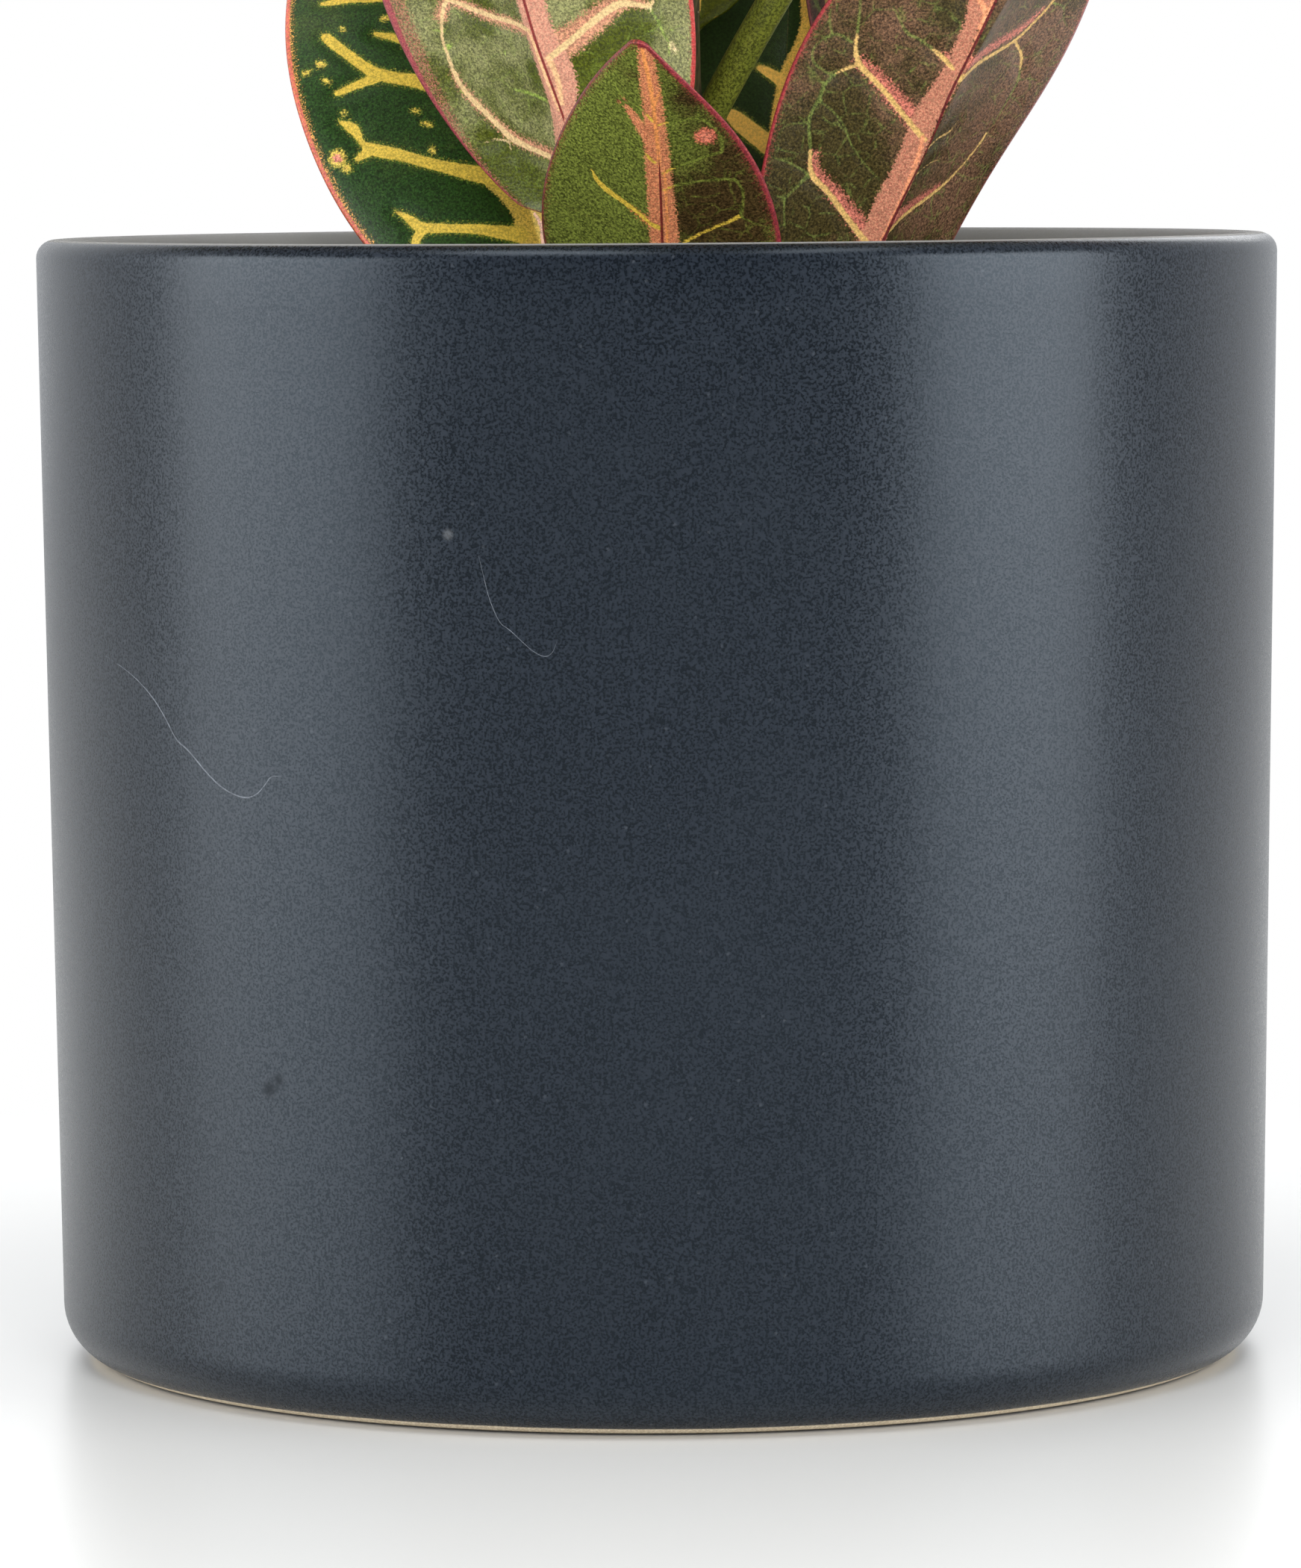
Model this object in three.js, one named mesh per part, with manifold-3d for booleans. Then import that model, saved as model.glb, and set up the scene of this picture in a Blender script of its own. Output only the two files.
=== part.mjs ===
// A potted croton: a tall round glazed pot, potting mix, three woody stems and their large broad leaves.
// Millimetres, +Z up. The origin is the middle of the pot's foot, on the surface that the pot stands on.
// The front of the plant, with its short leaf leaning over the rim, faces -Y.
import * as THREE from 'three';
import { mergeVertices } from 'three/addons/utils/BufferGeometryUtils.js';
import Module from 'manifold-3d';

const wasm = await Module();
wasm.setup();

// ---------------------------------------------------------------- driving dimensions

const CLEARANCE = 0.3; // between pieces that touch on the real plant

const POT = {
  height: 183.5,
  rimRadius: 101.6,
  footRadius: 99.1, // where the straight wall would meet the table
  wall: 7,
  lipRound: 3,
  footRound: 9,
  ringWidth: 6, // the unglazed flat that the pot stands on
  recess: 3, // how far the underside is hollowed inside that ring
  floor: 10, // thickness of the bottom above the table
  innerRound: 12,
  sides: 48,
};

const SOIL = {
  edgeHeight: 137,
  mound: 5, // how much higher it is in the middle
  lumps: 1.3, // height of its unevenness
  holeDepth: 32,
  holeSides: 12,
  rings: [0.82, 0.62, 0.42, 0.2], // shares of its radius
};

// straight: how far above the soil a stem runs upright. lean: the power by which it then leans over.
// sway: how far it bends to and fro on its way, as a share of that lean.
const STEM = { sides: 8, steps: 15, buried: 30, straight: 12, lean: 1.4, sway: 0.12 };

// foot: where the stem leaves the soil. lean: how far its tip has moved sideways.
// outward: compass angle, in degrees, of its own side of the pot. first: the angle of its first upper leaf.
const STEMS = {
  left: { foot: [-8, 15], top: 398, lean: [-40, 27], radius: 5.4, tipRadius: 2.8, outward: 145, first: 182 },
  middle: { foot: [2, -9], top: 438, lean: [1, -28], radius: 5.8, tipRadius: 3.0, outward: 265, first: 278 },
  right: { foot: [18, 4], top: 374, lean: [50, 4], radius: 5.2, tipRadius: 2.6, outward: 10, first: 358 },
};

const BLADE = {
  halfThickness: 0.42,
  keel: 1.5, // how far the midrib stands out underneath, at the base
  baseFullness: 0.8,
  tipFullness: 0.68,
  tipHalfWidth: 1,
  fold: 0.26,
  curl: 0.22,
  petioleRadius: 2.1,
  petioleSpread: 72, // angle in degrees from the middle of the round petiole's section to its side columns
  opening: 0.05, // share of the blade over which the round petiole turns into the flat blade
  keelHalfWidth: 0.25, // share of the blade's half width
  keelFade: 0.8, // share of the keel's height that is lost by the tip
  marginShift: 2.1, // how far the waves of one margin run ahead of the other's, in radians
  waveEnds: 0.7, // the power by which the waves die away towards both ends of the blade
};

// Columns of a section run from the left margin over the midrib to the right margin.
const COLUMNS = [-1, -0.48, 0, 0.48, 1];
const ROWS = { petiole: [0, 0.55], blade: [0, 0.05, 0.15, 0.28, 0.42, 0.56, 0.7, 0.82, 0.92, 1] };
const YOUNG_ROWS = { petiole: [0], blade: [0, 0.12, 0.35, 0.62, 0.85, 1] };

// The leaves that show above the rim at the front, placed one by one. height is where the petiole leaves the
// stem, azimuth the way it points, rise how steeply it starts, arch how much it bends over by its tip, and
// roll how far the blade is turned about its own midrib. Angles are in degrees.
const FRONT_LEAVES = {
  leaf_left_back: {
    stem: 'left', height: 153.8, azimuth: 119.7, rise: 62.7, arch: 17, roll: -32.3, baseFullness: 0.61,
    tipFullness: 0.75, fold: 0.4, curl: 0.29, petiole: 12.4, blade: 116, halfWidth: 31.2, waves: 1.6,
    wave: 2.2, phase: 0.4, colour: 'darkLeaf',
  },
  leaf_left_front: {
    stem: 'middle', height: 156.5, azimuth: 216, rise: 78, arch: 23.5, roll: 19, baseFullness: 0.49,
    fold: 0.44, curl: 0.29, petiole: 28.6, blade: 115, halfWidth: 28.8, waves: 1.4,
    wave: 1.6, phase: 2.2, colour: 'oliveLeaf',
  },
  leaf_centre_front: {
    stem: 'middle', height: 151.7, azimuth: 265.5, rise: 59.2, arch: 18.6, roll: -11.7, baseFullness: 0.56,
    tipFullness: 1.03, fold: 0.24, curl: 0.01, petiole: 7.3, blade: 75, halfWidth: 18.9, waves: 1.2,
    wave: 1.2, phase: 1, colour: 'oliveLeaf',
  },
  leaf_right_front: {
    stem: 'right', height: 150.2, azimuth: 331.2, rise: 69.9, arch: 20.1, roll: -20.3, baseFullness: 0.55,
    tipFullness: 0.64, fold: 0.44, curl: 0.15, petiole: 6, blade: 113, halfWidth: 25.6, waves: 1.5,
    wave: 1.6, phase: 3, colour: 'maroonLeaf',
  },
  leaf_right_back: {
    stem: 'right', height: 158, azimuth: 82, rise: 76, arch: 18, roll: 6,
    petiole: 14, blade: 122, halfWidth: 26, waves: 1.7, wave: 2.2, phase: 0.8, colour: 'darkLeaf',
  },
  leaf_right_high: {
    stem: 'middle', height: 203, azimuth: 325, rise: 57, arch: 24, roll: 0, petioleRadius: 2.6,
    petiole: 52, blade: 128, halfWidth: 27, waves: 1.6, wave: 2.2, phase: 1.9, colour: 'oliveLeaf',
  },
  leaf_middle_back: {
    stem: 'middle', height: 206, azimuth: 60, rise: 72, arch: 30, roll: 0,
    petiole: 10, blade: 118, halfWidth: 26, waves: 1.6, wave: 2.2, phase: 2.9, colour: 'darkLeaf',
  },
};

// The other leaves follow one rule on each stem, from the lowest, oldest leaf to the youngest under the tip.
// Pairs are [oldest, youngest]. scatter is the largest random change either way.
const UPPER = {
  count: { left: 15, middle: 17, right: 14 },
  firstHeight: 234,
  belowTip: 14,
  divergence: 137.5,
  rise: [40, 72],
  arch: [46, 26],
  inwardRise: 16, // leaves that grow towards the other stems stand steeper, to reach the light
  petiole: [40, 14],
  blade: [154, 90],
  slenderness: 0.205,
  wave: [3.4, 1.6],
  scatter: { azimuth: 7, rise: 4, arch: 9, blade: 9, roll: 13, waves: 0.35 },
  waves: 1.9,
  lowest: 227, // no part of them comes lower
  reach: 184, // how far a tip may be from the middle of the pot
  crowding: { height: 0.9, rise: 1.2, blade: 1.4 }, // powers of the age by which these change up the stem
  agesOfColour: { maroonLeaf: 0.34, darkLeaf: 0.67, oliveLeaf: 1 }, // the last age of each colour
};

// Low leaves behind the front ones, which fill the back of the plant down to the rim.
const LOW_BACK = {
  left: [{ height: 176, azimuth: 62, rise: 58 }, { height: 200, azimuth: 104, rise: 56 }],
  right: [{ height: 182, azimuth: 38, rise: 66 }],
  shape: { arch: 22, petiole: 22, blade: 116, halfWidth: 23, waves: 1.6, wave: 2.4 },
  roll: 8,
};

// The small unopened leaves of each tip, which are one piece with their stem.
const YOUNG = {
  count: 4,
  divergence: 137.5,
  rise: [64, 82],
  blade: [62, 34],
  slenderness: 0.19,
  shape: { arch: 12, roll: 0, petiole: 10, petioleRadius: 1.3, waves: 1, wave: 0.6 },
  sunk: 3, // how far below the stem's tip they start
  offset: 0.35, // how far beside its middle, as a share of its radius
};

// How far apart pieces are kept, and the steps by which a leaf is turned and lifted, in degrees, and made
// smaller until it is. soil and pot are for the front leaves, which start inside the pot.
const SPACING = {
  leaf: 2.8,
  stem: 1.6,
  soil: 1,
  pot: 2,
  sample: 4,
  turn: 6,
  turns: 9,
  lift: [0, 6, -6, 12, -12],
  shrink: [1, 0.9, 0.8],
};

const COLOURS = {
  pot: { color: 0x4a545e, roughness: 0.42, metalness: 0 },
  soil: { color: 0x2e221a, roughness: 0.97, metalness: 0 },
  stem: { color: 0x5d5a3a, roughness: 0.75, metalness: 0 },
  darkLeaf: { color: 0x24442b, roughness: 0.38, metalness: 0 },
  oliveLeaf: { color: 0x5c6a2c, roughness: 0.38, metalness: 0 },
  maroonLeaf: { color: 0x54382f, roughness: 0.38, metalness: 0 },
};

// ---------------------------------------------------------------- small helpers

const radians = (degrees) => (degrees * Math.PI) / 180;
const mix = (pair, share) => pair[0] + (pair[1] - pair[0]) * share;
const clamp = (value) => Math.min(1, Math.max(0, value));
const smooth = (value) => clamp(value) ** 2 * (3 - 2 * clamp(value));

// The level direction at a compass angle in degrees.
const heading = (degrees) => new THREE.Vector3(Math.cos(radians(degrees)), Math.sin(radians(degrees)), 0);

// A repeatable random number from -1 to 1.
let seed = 20731;
function scatter() {
  seed = (seed * 48271) % 2147483647;
  return (seed / 2147483647) * 2 - 1;
}

function geometryOf(points, triangles) {
  const geometry = new THREE.BufferGeometry();
  const numbers = points.flatMap(({ x, y, z }) => [x, y, z]);
  geometry.setAttribute('position', new THREE.Float32BufferAttribute(numbers, 3));
  geometry.setIndex(triangles.flat());
  return geometry;
}

// ---------------------------------------------------------------- pot

const wallRadius = (z) => POT.footRadius + ((POT.rimRadius - POT.footRadius) * z) / POT.height;
const insideRadius = (z) => wallRadius(z) - POT.wall;

// A quarter circle in the profile, by its middle, radius, first angle and last angle in degrees.
function arc(x, z, radius, from, to, steps) {
  return Array.from({ length: steps + 1 }, (_, i) => {
    const angle = radians(from + ((to - from) * i) / steps);
    return new THREE.Vector2(x + radius * Math.cos(angle), z + radius * Math.sin(angle));
  });
}

function turned(profile) {
  return new THREE.LatheGeometry(profile, POT.sides).rotateX(Math.PI / 2);
}

function makePot() {
  const { height, lipRound, footRound, ringWidth, recess, floor, innerRound } = POT;
  const ringOutside = wallRadius(footRound) - footRound;
  const ringInside = ringOutside - ringWidth;
  const lipZ = height - lipRound;
  return turned([
    new THREE.Vector2(0, recess),
    new THREE.Vector2(ringInside - recess, recess),
    new THREE.Vector2(ringInside, 0),
    ...arc(ringOutside, footRound, footRound, -90, 0, 4),
    ...arc(wallRadius(lipZ) - lipRound, lipZ, lipRound, 0, 90, 3),
    ...arc(insideRadius(lipZ) + lipRound, lipZ, lipRound, 90, 180, 3),
    ...arc(insideRadius(floor + innerRound) - innerRound, floor + innerRound, innerRound, 0, -90, 3),
    new THREE.Vector2(0, floor),
  ]);
}

// ---------------------------------------------------------------- soil

const soilHeight = (radius) => SOIL.edgeHeight + SOIL.mound * (1 - (radius / POT.rimRadius) ** 2);

function lumps(x, y) {
  return SOIL.lumps * (Math.sin(x * 0.11 + 1.3) * Math.cos(y * 0.13) + 0.6 * Math.sin(x * 0.23 - y * 0.19));
}

function makeSoil() {
  const { floor, innerRound } = POT;
  const edge = insideRadius(SOIL.edgeHeight) - CLEARANCE;
  const cornerZ = floor + innerRound;
  const corner = arc(insideRadius(cornerZ) - innerRound, cornerZ, innerRound - CLEARANCE, -90, 0, 3);
  const rings = SOIL.rings.map((share) => edge * share);
  const body = turned([
    new THREE.Vector2(0, floor + CLEARANCE),
    ...corner,
    new THREE.Vector2(edge, SOIL.edgeHeight),
    ...rings.map((radius) => new THREE.Vector2(radius, soilHeight(radius))),
    new THREE.Vector2(0, soilHeight(0)),
  ]);
  const position = body.getAttribute('position');
  for (let i = 0; i < position.count; i += 1) {
    const [x, y, z] = [position.getX(i), position.getY(i), position.getZ(i)];
    if (z > SOIL.edgeHeight && Math.hypot(x, y) < edge - 1) position.setZ(i, z + lumps(x, y));
  }
  const holes = Object.values(STEMS).map(({ radius, foot }) => {
    const round = radius + CLEARANCE;
    const hole = new THREE.CylinderGeometry(round, round, 2 * SOIL.holeDepth, SOIL.holeSides);
    return hole.rotateX(Math.PI / 2).translate(foot[0], foot[1], soilHeight(0));
  });
  return cut(body, holes);
}

// ---------------------------------------------------------------- joining and cutting solids

function solidOf(geometry) {
  const bare = geometry.clone();
  bare.deleteAttribute('normal');
  bare.deleteAttribute('uv');
  const merged = mergeVertices(bare, 1e-4);
  const corners = Array.from(merged.getIndex().array);
  const kept = corners.filter((_, i) => {
    const [a, b, c] = corners.slice(i - (i % 3), i - (i % 3) + 3);
    return a !== b && b !== c && a !== c;
  });
  return new wasm.Manifold(
    new wasm.Mesh({
      numProp: 3,
      vertProperties: new Float32Array(merged.getAttribute('position').array),
      triVerts: new Uint32Array(kept),
    }),
  );
}

function geometryFrom(solid) {
  const mesh = solid.getMesh();
  const geometry = new THREE.BufferGeometry();
  geometry.setAttribute('position', new THREE.BufferAttribute(new Float32Array(mesh.vertProperties), 3));
  geometry.setIndex(new THREE.BufferAttribute(new Uint32Array(mesh.triVerts), 1));
  return geometry;
}

function cut(body, tools) {
  return geometryFrom(tools.reduce((rest, tool) => rest.subtract(solidOf(tool)), solidOf(body)));
}

function join(body, pieces) {
  return geometryFrom(pieces.reduce((whole, piece) => whole.add(solidOf(piece)), solidOf(body)));
}

// ---------------------------------------------------------------- stems

const stemFootZ = soilHeight(0) - STEM.buried;

function stemAxis(stem, z) {
  const start = soilHeight(0) + STEM.straight;
  const share = clamp((z - start) / (stem.top - start));
  const moved = share ** STEM.lean + STEM.sway * Math.sin(2 * Math.PI * share);
  return new THREE.Vector3(stem.foot[0] + stem.lean[0] * moved, stem.foot[1] + stem.lean[1] * moved, z);
}

function stemRadius(stem, z) {
  return mix([stem.radius, stem.tipRadius], clamp((z - soilHeight(0)) / (stem.top - soilHeight(0))));
}

function makeBareStem(stem) {
  const points = [];
  for (let row = 0; row <= STEM.steps; row += 1) {
    const z = mix([stemFootZ, stem.top], row / STEM.steps);
    const centre = stemAxis(stem, z);
    for (let k = 0; k < STEM.sides; k += 1) {
      const aside = heading((360 * k) / STEM.sides).multiplyScalar(stemRadius(stem, z));
      points.push(aside.add(centre));
    }
  }
  return loft(points, STEM.steps + 1, STEM.sides);
}

// Joins rows of equal rings of points, each anticlockwise seen from the far end, and closes both ends.
function loft(points, rows, around) {
  const triangles = [];
  for (let row = 0; row + 1 < rows; row += 1) {
    for (let k = 0; k < around; k += 1) {
      const next = (k + 1) % around;
      const [a, b] = [row * around + k, row * around + next];
      const [c, d] = [a + around, b + around];
      triangles.push([a, b, d], [a, d, c]);
    }
  }
  const last = (rows - 1) * around;
  for (let k = 1; k + 1 < around; k += 1) {
    triangles.push([0, k + 1, k], [last, last + k, last + k + 1]);
  }
  return geometryOf(points, triangles);
}

// ---------------------------------------------------------------- leaves

// Where the leaf's midrib is at a share of its whole length, and which way the leaf faces there.
function leafFrame(leaf, share) {
  const total = leaf.petiole + leaf.blade;
  const [rise, arch] = [radians(leaf.rise), radians(leaf.arch)];
  const angle = rise - arch * share;
  const out = (total * (Math.sin(rise) - Math.sin(angle))) / arch;
  const up = (total * (Math.cos(angle) - Math.cos(rise))) / arch;
  const ahead = heading(leaf.azimuth);
  const side = heading(leaf.azimuth + 90);
  const face = ahead.clone().multiplyScalar(-Math.sin(angle)).setZ(Math.cos(angle));
  const roll = radians(leaf.roll) * smooth((share * total) / leaf.petiole);
  return {
    point: ahead.multiplyScalar(out).setZ(up).add(leaf.base),
    across: side.clone().multiplyScalar(Math.cos(roll)).addScaledVector(face, Math.sin(roll)),
    normal: face.clone().multiplyScalar(Math.cos(roll)).addScaledVector(side, -Math.sin(roll)),
  };
}

function bladeHalfWidth(leaf, u) {
  const { baseFullness, tipFullness, tipHalfWidth } = { ...BLADE, ...leaf };
  const shape = (x) => x ** baseFullness * (1 - x) ** tipFullness;
  const widest = baseFullness / (baseFullness + tipFullness);
  return (leaf.halfWidth * shape(u)) / shape(widest) + tipHalfWidth;
}

// How far the blade's middle surface stands off its midrib's plane.
function bladeLift(leaf, u, v) {
  const { fold, curl } = { ...BLADE, ...leaf };
  const bend = bladeHalfWidth(leaf, u) * (fold * Math.abs(v) - curl * v * v);
  const turn = 2 * Math.PI * leaf.waves * u + leaf.phase + (v > 0 ? BLADE.marginShift : 0);
  return bend + leaf.wave * v * v * Math.sin(turn) * Math.sin(Math.PI * u) ** BLADE.waveEnds;
}

// One point of the leaf's skin at a share of its length. v runs across it, from -1 to 1 between the margins.
function leafPoint(leaf, share, v, upper) {
  const stalk = leaf.petiole / (leaf.petiole + leaf.blade);
  const u = clamp((share - stalk) / (1 - stalk));
  const frame = leafFrame(leaf, share);
  const angle = radians(90 - BLADE.petioleSpread * v);
  const side = upper ? 1 : -1;
  const round = [leaf.petioleRadius * Math.cos(angle), side * leaf.petioleRadius * Math.sin(angle)];
  const ridge = BLADE.keel * (1 - BLADE.keelFade * u) * clamp(1 - Math.abs(v) / BLADE.keelHalfWidth);
  const offset = side * BLADE.halfThickness - (upper ? 0 : ridge);
  const flat = [bladeHalfWidth(leaf, u) * v, bladeLift(leaf, u, v) + offset];
  const open = smooth(u / BLADE.opening);
  return frame.point
    .addScaledVector(frame.across, mix([round[0], flat[0]], open))
    .addScaledVector(frame.normal, mix([round[1], flat[1]], open));
}

function rowShares(leaf, rows) {
  const stalk = leaf.petiole / (leaf.petiole + leaf.blade);
  return [...rows.petiole.map((s) => s * stalk), ...rows.blade.map((u) => stalk + (1 - stalk) * u)];
}

function makeLeaf(leaf, rows) {
  const shares = rowShares(leaf, rows);
  const columns = COLUMNS.length;
  const around = 2 * columns;
  const points = shares.flatMap((share) => [
    ...COLUMNS.map((v) => leafPoint(leaf, share, v, true)),
    ...COLUMNS.toReversed().map((v) => leafPoint(leaf, share, v, false)),
  ]);
  const triangles = [];
  for (let row = 0; row + 1 < shares.length; row += 1) {
    const near = row * around;
    const far = near + around;
    // Both faces are split along the same diagonal, so that a thin waved blade never cuts itself.
    for (let k = 0; k + 1 < columns; k += 1) {
      const [a, b, c, d] = [near + k, near + k + 1, far + k, far + k + 1];
      const under = (corner) => (corner >= far ? far : near) + around - 1 - (corner % around);
      triangles.push([a, d, b], [a, c, d]);
      triangles.push([under(a), under(b), under(d)], [under(a), under(d), under(c)]);
    }
    for (const k of [columns - 1, around - 1]) {
      const next = (k + 1) % around;
      triangles.push([near + k, far + next, near + next], [near + k, far + k, far + next]);
    }
  }
  const last = (shares.length - 1) * around;
  for (let k = 0; k + 1 < columns; k += 1) {
    const opposite = around - 1 - k;
    triangles.push([opposite, k, k + 1], [opposite, k + 1, opposite - 1]);
    triangles.push([last + opposite, last + k + 1, last + k]);
    triangles.push([last + opposite, last + opposite - 1, last + k + 1]);
  }
  return geometryOf(points, triangles);
}

// ---------------------------------------------------------------- keeping leaves clear of each other

function pointsBetween(from, to) {
  const parts = Math.ceil(from.distanceTo(to) / SPACING.sample);
  return Array.from({ length: parts - 1 }, (_, i) => from.clone().lerp(to, (i + 1) / parts));
}

// The middle surface of a leaf: its corners with points along all its edges, its triangles and its edges.
function middleSurface(leaf, rows) {
  const shares = rowShares(leaf, rows);
  const points = shares.flatMap((share) =>
    COLUMNS.map((v) => leafPoint(leaf, share, v, true).lerp(leafPoint(leaf, share, v, false), 0.5)),
  );
  const triangles = [];
  for (let row = 0; row + 1 < shares.length; row += 1) {
    for (let k = 0; k + 1 < COLUMNS.length; k += 1) {
      const corner = row * COLUMNS.length + k;
      const [a, b, c, d] = [corner, corner + 1, corner + COLUMNS.length, corner + COLUMNS.length + 1];
      triangles.push([a, d, b], [a, c, d]);
    }
  }
  const faces = triangles.map((corners) => new THREE.Triangle(...corners.map((i) => points[i])));
  const edges = faces.flatMap(({ a, b, c }) => [[a, b], [b, c], [c, a]]);
  return {
    points: [...points, ...edges.flatMap(([from, to]) => pointsBetween(from, to))],
    faces: faces.map((face) => ({ face, box: new THREE.Box3().setFromPoints([face.a, face.b, face.c]) })),
    edges,
    petioleFaces: rows.petiole.length * (COLUMNS.length - 1) * 2,
    box: new THREE.Box3().setFromPoints(points),
  };
}

const nearest = new THREE.Vector3();

function pointsTooNear(points, surface, distance) {
  return points.some((point) => {
    if (surface.box.distanceToPoint(point) > distance) return false;
    return surface.faces.some(({ face, box }) => {
      if (box.distanceToPoint(point) > distance) return false;
      return face.closestPointToPoint(point, nearest).distanceTo(point) < distance;
    });
  });
}

const ray = new THREE.Ray();
const hit = new THREE.Vector3();

function edgesCross(edges, surface) {
  return edges.some(([from, to]) => {
    const span = new THREE.Box3().setFromPoints([from, to]);
    if (!span.intersectsBox(surface.box)) return false;
    ray.origin.copy(from);
    ray.direction.copy(to).sub(from).normalize();
    return surface.faces.some(({ face, box }) => {
      if (!span.intersectsBox(box)) return false;
      const crossing = ray.intersectTriangle(face.a, face.b, face.c, false, hit);
      return crossing !== null && hit.distanceTo(from) <= from.distanceTo(to);
    });
  });
}

function surfacesClear(one, other, distance) {
  if (!one.box.clone().expandByScalar(distance).intersectsBox(other.box)) return true;
  if (pointsTooNear(one.points, other, distance) || pointsTooNear(other.points, one, distance)) return false;
  return !edgesCross(one.edges, other) && !edgesCross(other.edges, one);
}

// Whether a stem's middle keeps clear of a leaf's triangles.
function stemClear(stem, surface) {
  for (let z = soilHeight(0) + SPACING.sample; z < stem.top; z += SPACING.sample) {
    if (pointsTooNear([stemAxis(stem, z)], surface, stemRadius(stem, z) + SPACING.stem)) return false;
  }
  return true;
}

// A leaf's petiole starts right beside its own stem, so that only its blade is kept away from that one.
function clearOfStems(leaf, surface) {
  const blade = { ...surface, faces: surface.faces.slice(surface.petioleFaces) };
  return Object.entries(STEMS).every(([name, stem]) => stemClear(stem, name === leaf.stem ? blade : surface));
}

// Whether a leaf keeps above a height and the soil, and inside the pot's wall where it is below the rim.
function clearOfPot(surface, lowest) {
  return surface.points.every((point) => {
    const radius = Math.hypot(point.x, point.y);
    const soil = soilHeight(radius) + 2 * SOIL.lumps + SPACING.soil;
    if (point.z < Math.max(lowest, soil)) return false;
    return point.z > POT.height + SPACING.pot || radius < insideRadius(point.z) - SPACING.pot;
  });
}

// ---------------------------------------------------------------- placing the leaves

// The petiole starts on its stem's bark, just clear of it.
function withBase(leaf) {
  const stem = STEMS[leaf.stem];
  const petioleRadius = leaf.petioleRadius ?? BLADE.petioleRadius;
  const off = stemRadius(stem, leaf.height) + 2 * CLEARANCE + petioleRadius * Math.sin(radians(leaf.rise));
  const base = heading(leaf.azimuth).multiplyScalar(off).add(stemAxis(stem, leaf.height));
  return { ...leaf, petioleRadius, base };
}

// A leaf that would reach too far out is shortened.
function withinReach(leaf) {
  const total = leaf.petiole + leaf.blade;
  const tip = leafFrame(leaf, 1).point;
  const over = Math.hypot(tip.x, tip.y) / UPPER.reach;
  return over <= 1 ? leaf : withBase({ ...leaf, blade: total / over - leaf.petiole });
}

// The ways in which a leaf may be moved, from the smallest change to the largest.
function* moves() {
  for (const shrink of SPACING.shrink) {
    for (let turn = 0; turn <= SPACING.turns; turn += 1) {
      for (const side of turn === 0 ? [1] : [1, -1]) {
        for (const lift of SPACING.lift) yield { shrink, turn: side * turn * SPACING.turn, lift };
      }
    }
  }
}

function moved(leaf, move) {
  return withinReach(
    withBase({
      ...leaf,
      azimuth: leaf.azimuth + move.turn,
      rise: leaf.rise + move.lift,
      blade: leaf.blade * move.shrink,
      halfWidth: leaf.halfWidth * move.shrink,
    }),
  );
}

const placed = [];

// The first way of placing a leaf that keeps clear of everything placed before it, or null.
function settle(leaf, lowest) {
  for (const move of moves()) {
    const candidate = moved(leaf, move);
    const surface = middleSurface(candidate, ROWS);
    if (!clearOfPot(surface, lowest)) continue;
    if (!clearOfStems(candidate, surface)) continue;
    if (!placed.every((other) => surfacesClear(surface, other, SPACING.leaf))) continue;
    placed.push(surface);
    return candidate;
  }
  return null;
}

// Age runs from 0 for the oldest leaf of a stem to 1 for its youngest.
function upperLeaf(name, index) {
  const stem = STEMS[name];
  const age = index / (UPPER.count[name] - 1);
  const { scatter: change, crowding } = UPPER;
  const azimuth = stem.first + index * UPPER.divergence + change.azimuth * scatter();
  const inward = Math.max(0, -Math.cos(radians(azimuth - stem.outward)));
  const blade = mix(UPPER.blade, age ** crowding.blade) + change.blade * scatter();
  const steeper = UPPER.inwardRise * inward * (1 - age);
  return {
    stem: name,
    age,
    height: mix([UPPER.firstHeight, stem.top - UPPER.belowTip], age ** crowding.height),
    azimuth,
    rise: mix(UPPER.rise, age ** crowding.rise) + steeper + change.rise * scatter(),
    arch: mix(UPPER.arch, age) + change.arch * scatter(),
    roll: change.roll * scatter(),
    petiole: mix(UPPER.petiole, age),
    blade,
    halfWidth: blade * UPPER.slenderness,
    waves: UPPER.waves + change.waves * scatter(),
    wave: mix(UPPER.wave, age),
    phase: Math.PI * scatter(),
    colour: Object.keys(UPPER.agesOfColour).find((colour) => age <= UPPER.agesOfColour[colour]),
  };
}

function lowBackLeaf(stem, leaf) {
  const roll = LOW_BACK.roll * scatter();
  return { stem, ...leaf, ...LOW_BACK.shape, roll, phase: Math.PI * scatter(), colour: 'maroonLeaf' };
}

function youngLeaf(name, index) {
  const stem = STEMS[name];
  const share = index / (YOUNG.count - 1);
  const azimuth = stem.first + (UPPER.count[name] + index) * YOUNG.divergence;
  const aside = heading(azimuth).multiplyScalar(stem.tipRadius * YOUNG.offset);
  const base = stemAxis(stem, stem.top - YOUNG.sunk).add(aside);
  const blade = mix(YOUNG.blade, share);
  const halfWidth = blade * YOUNG.slenderness;
  return { ...YOUNG.shape, base, azimuth, rise: mix(YOUNG.rise, share), blade, halfWidth, phase: index };
}

// ---------------------------------------------------------------- the plant

const croton = new THREE.Group();

function add(name, geometry, { color, roughness, metalness }) {
  const mesh = new THREE.Mesh(geometry, new THREE.MeshStandardMaterial({ color, roughness, metalness }));
  mesh.name = name;
  croton.add(mesh);
}

add('pot', makePot(), COLOURS.pot);
add('soil', makeSoil(), COLOURS.soil);

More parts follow.
